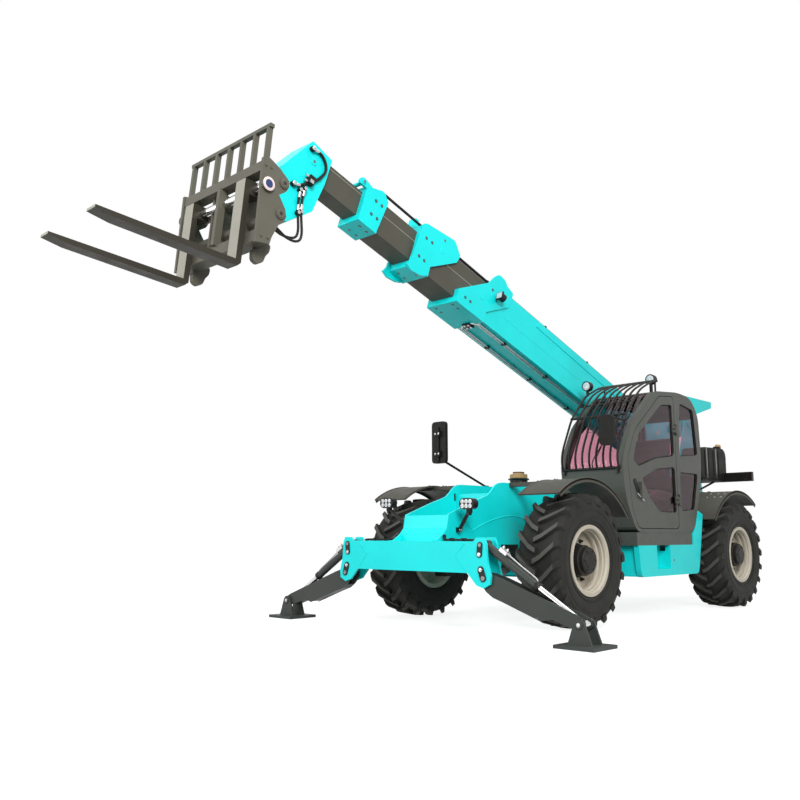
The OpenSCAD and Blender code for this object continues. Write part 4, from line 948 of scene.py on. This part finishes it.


# Two hoses hang between the head and the carriage

HOSE_ROUTES = (
    [at(4438, 172, 3512), at(4434, 174, 3440), at(4440, 182, 3365), at(4475, 203, 3300),
     at(4555, 240, 3256), at(4680, 285, 3234), at(4780, 318, 3244), at(4846, 330, 3263)],
    [at(4403, 172, 3526), at(4398, 174, 3440), at(4404, 186, 3350), at(4445, 214, 3274),
     at(4540, 262, 3226), at(4670, 318, 3212), at(4780, 358, 3236), at(4846, 370, 3263)],
)
HOSE_RADIUS = 11
hose_mesh = bmesh.new()
for route in HOSE_ROUTES:
    tube(hose_mesh, route, HOSE_RADIUS, 12, 4)
hoses = piece("carriage_hoses", hose_mesh, "hose")
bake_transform(hoses)


# Seat: two upholstered cushions on the seat box

def cushion(name, put, length, width, thick, channels):
    """Crowned closed pad; a runs along its length, b across, t through it."""
    bm = bmesh.new()
    na, nb = 44, 36
    seam_depth, side_seam = 9, 0.68
    grid = {}
    for top, i, j in product((0, 1), range(na + 1), range(nb + 1)):
        if top and (i in (0, na) or j in (0, nb)):
            grid[1, i, j] = grid[0, i, j]
            continue
        p, q = 2 * i / na - 1, 2 * j / nb - 1
        full = max((1 - abs(p) ** 5) * (1 - abs(q) ** 5), 0.0) ** 0.45
        a = length / 2 * (1 + p * (1 - 0.02 * (1 - q * q) * abs(p) ** 3))
        b = width / 2 * q * (1 - 0.02 * (1 - p * p) * abs(q) ** 3)
        if top:
            sewn = sum(math.exp(-((p - c) / 0.028) ** 2) for c in channels) * (1 - q ** 6)
            sewn += math.exp(-((abs(q) - side_seam) / 0.03) ** 2)
            t = thick * (0.5 + 0.5 * full) * (1 + 0.05 * q * q) - seam_depth * min(sewn, 1) * full
        else:
            t = thick * (0.5 - 0.5 * min(full * 1.25, 1))
        grid[top, i, j] = bm.verts.new(put(a, b, t))
    for top, i, j in product((0, 1), range(na), range(nb)):
        corners = ((i, j), (i + 1, j), (i + 1, j + 1), (i, j + 1))
        bm.faces.new([grid[top, k, m] for k, m in corners])
    o = piece(name, bm, "cloth")
    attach(o, "chassis")


SEAT_Y, SEAT_Z = 670, 1243
recline = math.radians(95.8)
rise = Vector((math.cos(recline), math.sin(recline)))
through = Vector((math.sin(recline), -math.cos(recline)))


def on_seat(a, b, t):
    return at(-505 + a, SEAT_Y + b, SEAT_Z + t)


def on_back(a, b, t):
    return at(-545 + rise.x * a + through.x * t, SEAT_Y + b, 1366 + rise.y * a + through.y * t)


cushion("seat_cushion", on_seat, 520, 500, 124, (-0.35, 0.3))
cushion("seat_back", on_back, 610, 460, 112, (-0.5, 0.0, 0.5))
box_mesh = bmesh.new()
block(box_mesh, at, -480, -80, SEAT_Y - 210, SEAT_Y + 210, 945.5, SEAT_Z, 14)
block(box_mesh, at, -545, -440, SEAT_Y - 150, SEAT_Y + 150, SEAT_Z, 1300, 6)
seat_box = piece("seat_box", box_mesh, "plastic", smooth=False)
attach(seat_box, "chassis")
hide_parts("seat")

# Camera, at the photograph's place, as solved from it
PHOTO_PIXELS, FOCAL_PIXELS, RISE_PIXELS = 800, 846.83, 1.6
SENSOR = 36
yaw, pitch = math.radians(224.13), math.radians(8.9)
cam_data = bpy.data.cameras.new("camera")
cam = add_object("camera", cam_data)
cam_data.sensor_width = SENSOR
cam_data.lens = FOCAL_PIXELS / PHOTO_PIXELS * SENSOR
cam_data.shift_y = RISE_PIXELS / PHOTO_PIXELS
cam_data.clip_start = 0.1
cam_data.clip_end = 200
cam.location = (8.68 + SHIFT, 5.476, 0.872)
aim = Vector((math.cos(yaw) * math.cos(pitch), math.sin(yaw) * math.cos(pitch), math.sin(pitch)))
cam.rotation_mode = "QUATERNION"
cam.rotation_quaternion = aim.to_track_quat("-Z", "Y")
scene.camera = cam


# Floor, world and lamps: the backdrop is white to the eye, and lights the object at a plain level

def either(t, a, b):
    node = t.nodes.new("ShaderNodeMath")
    node.operation = "MAXIMUM"
    t.links.new(a, node.inputs[0])
    t.links.new(b, node.inputs[1])
    return node.outputs[0]


def seen_directly(t):
    """1 for camera, glossy and transmission rays."""
    rays = t.nodes.new("ShaderNodeLightPath").outputs
    return either(t, either(t, rays["Is Camera Ray"], rays["Is Transmission Ray"]), rays["Is Glossy Ray"])


floor_grid = bmesh.new()
bmesh.ops.create_grid(floor_grid, x_segments=2, y_segments=2, size=60)
floor_mesh = bpy.data.meshes.new("floor")
floor_grid.to_mesh(floor_mesh)
floor_grid.free()
floor = add_object("floor", floor_mesh)
floor.location.z = -0.001
m, t, p = new_material("floor_white")
p.inputs["Base Color"].default_value = grey(0.3)
p.inputs["Roughness"].default_value = 0.9
p.inputs["Specular IOR Level"].default_value = 0.0
p.inputs["Emission Color"].default_value = grey(0.86)
t.links.new(seen_directly(t), p.inputs["Emission Strength"])
floor_mesh.materials.append(m)

world = bpy.data.worlds.new("studio")
scene.world = world
world.use_nodes = True
t = world.node_tree
backdrop = t.nodes["Background"]
backdrop.inputs["Color"].default_value = grey(1)
level = t.nodes.new("ShaderNodeMapRange")
level.inputs["To Min"].default_value = 0.5
level.inputs["To Max"].default_value = 1.0
t.links.new(seen_directly(t), level.inputs["Value"])
t.links.new(level.outputs["Result"], backdrop.inputs["Strength"])


def area_lamp(name, place, target, size, power):
    data = bpy.data.lights.new(name, "AREA")
    data.shape = "DISK"
    data.size = size
    data.energy = power
    lamp = add_object(name, data)
    lamp.location = place
    lamp.rotation_mode = "QUATERNION"
    lamp.rotation_quaternion = (Vector(target) - Vector(place)).to_track_quat("-Z", "Y")


area_lamp("key", (9, 10, 8), (0, 0, 1.5), 6, 1700)
area_lamp("fill", (11, -6, 4), (0, 0, 1.5), 7, 450)
area_lamp("top", (-1, 2, 13), (0, 0, 1), 9, 520)
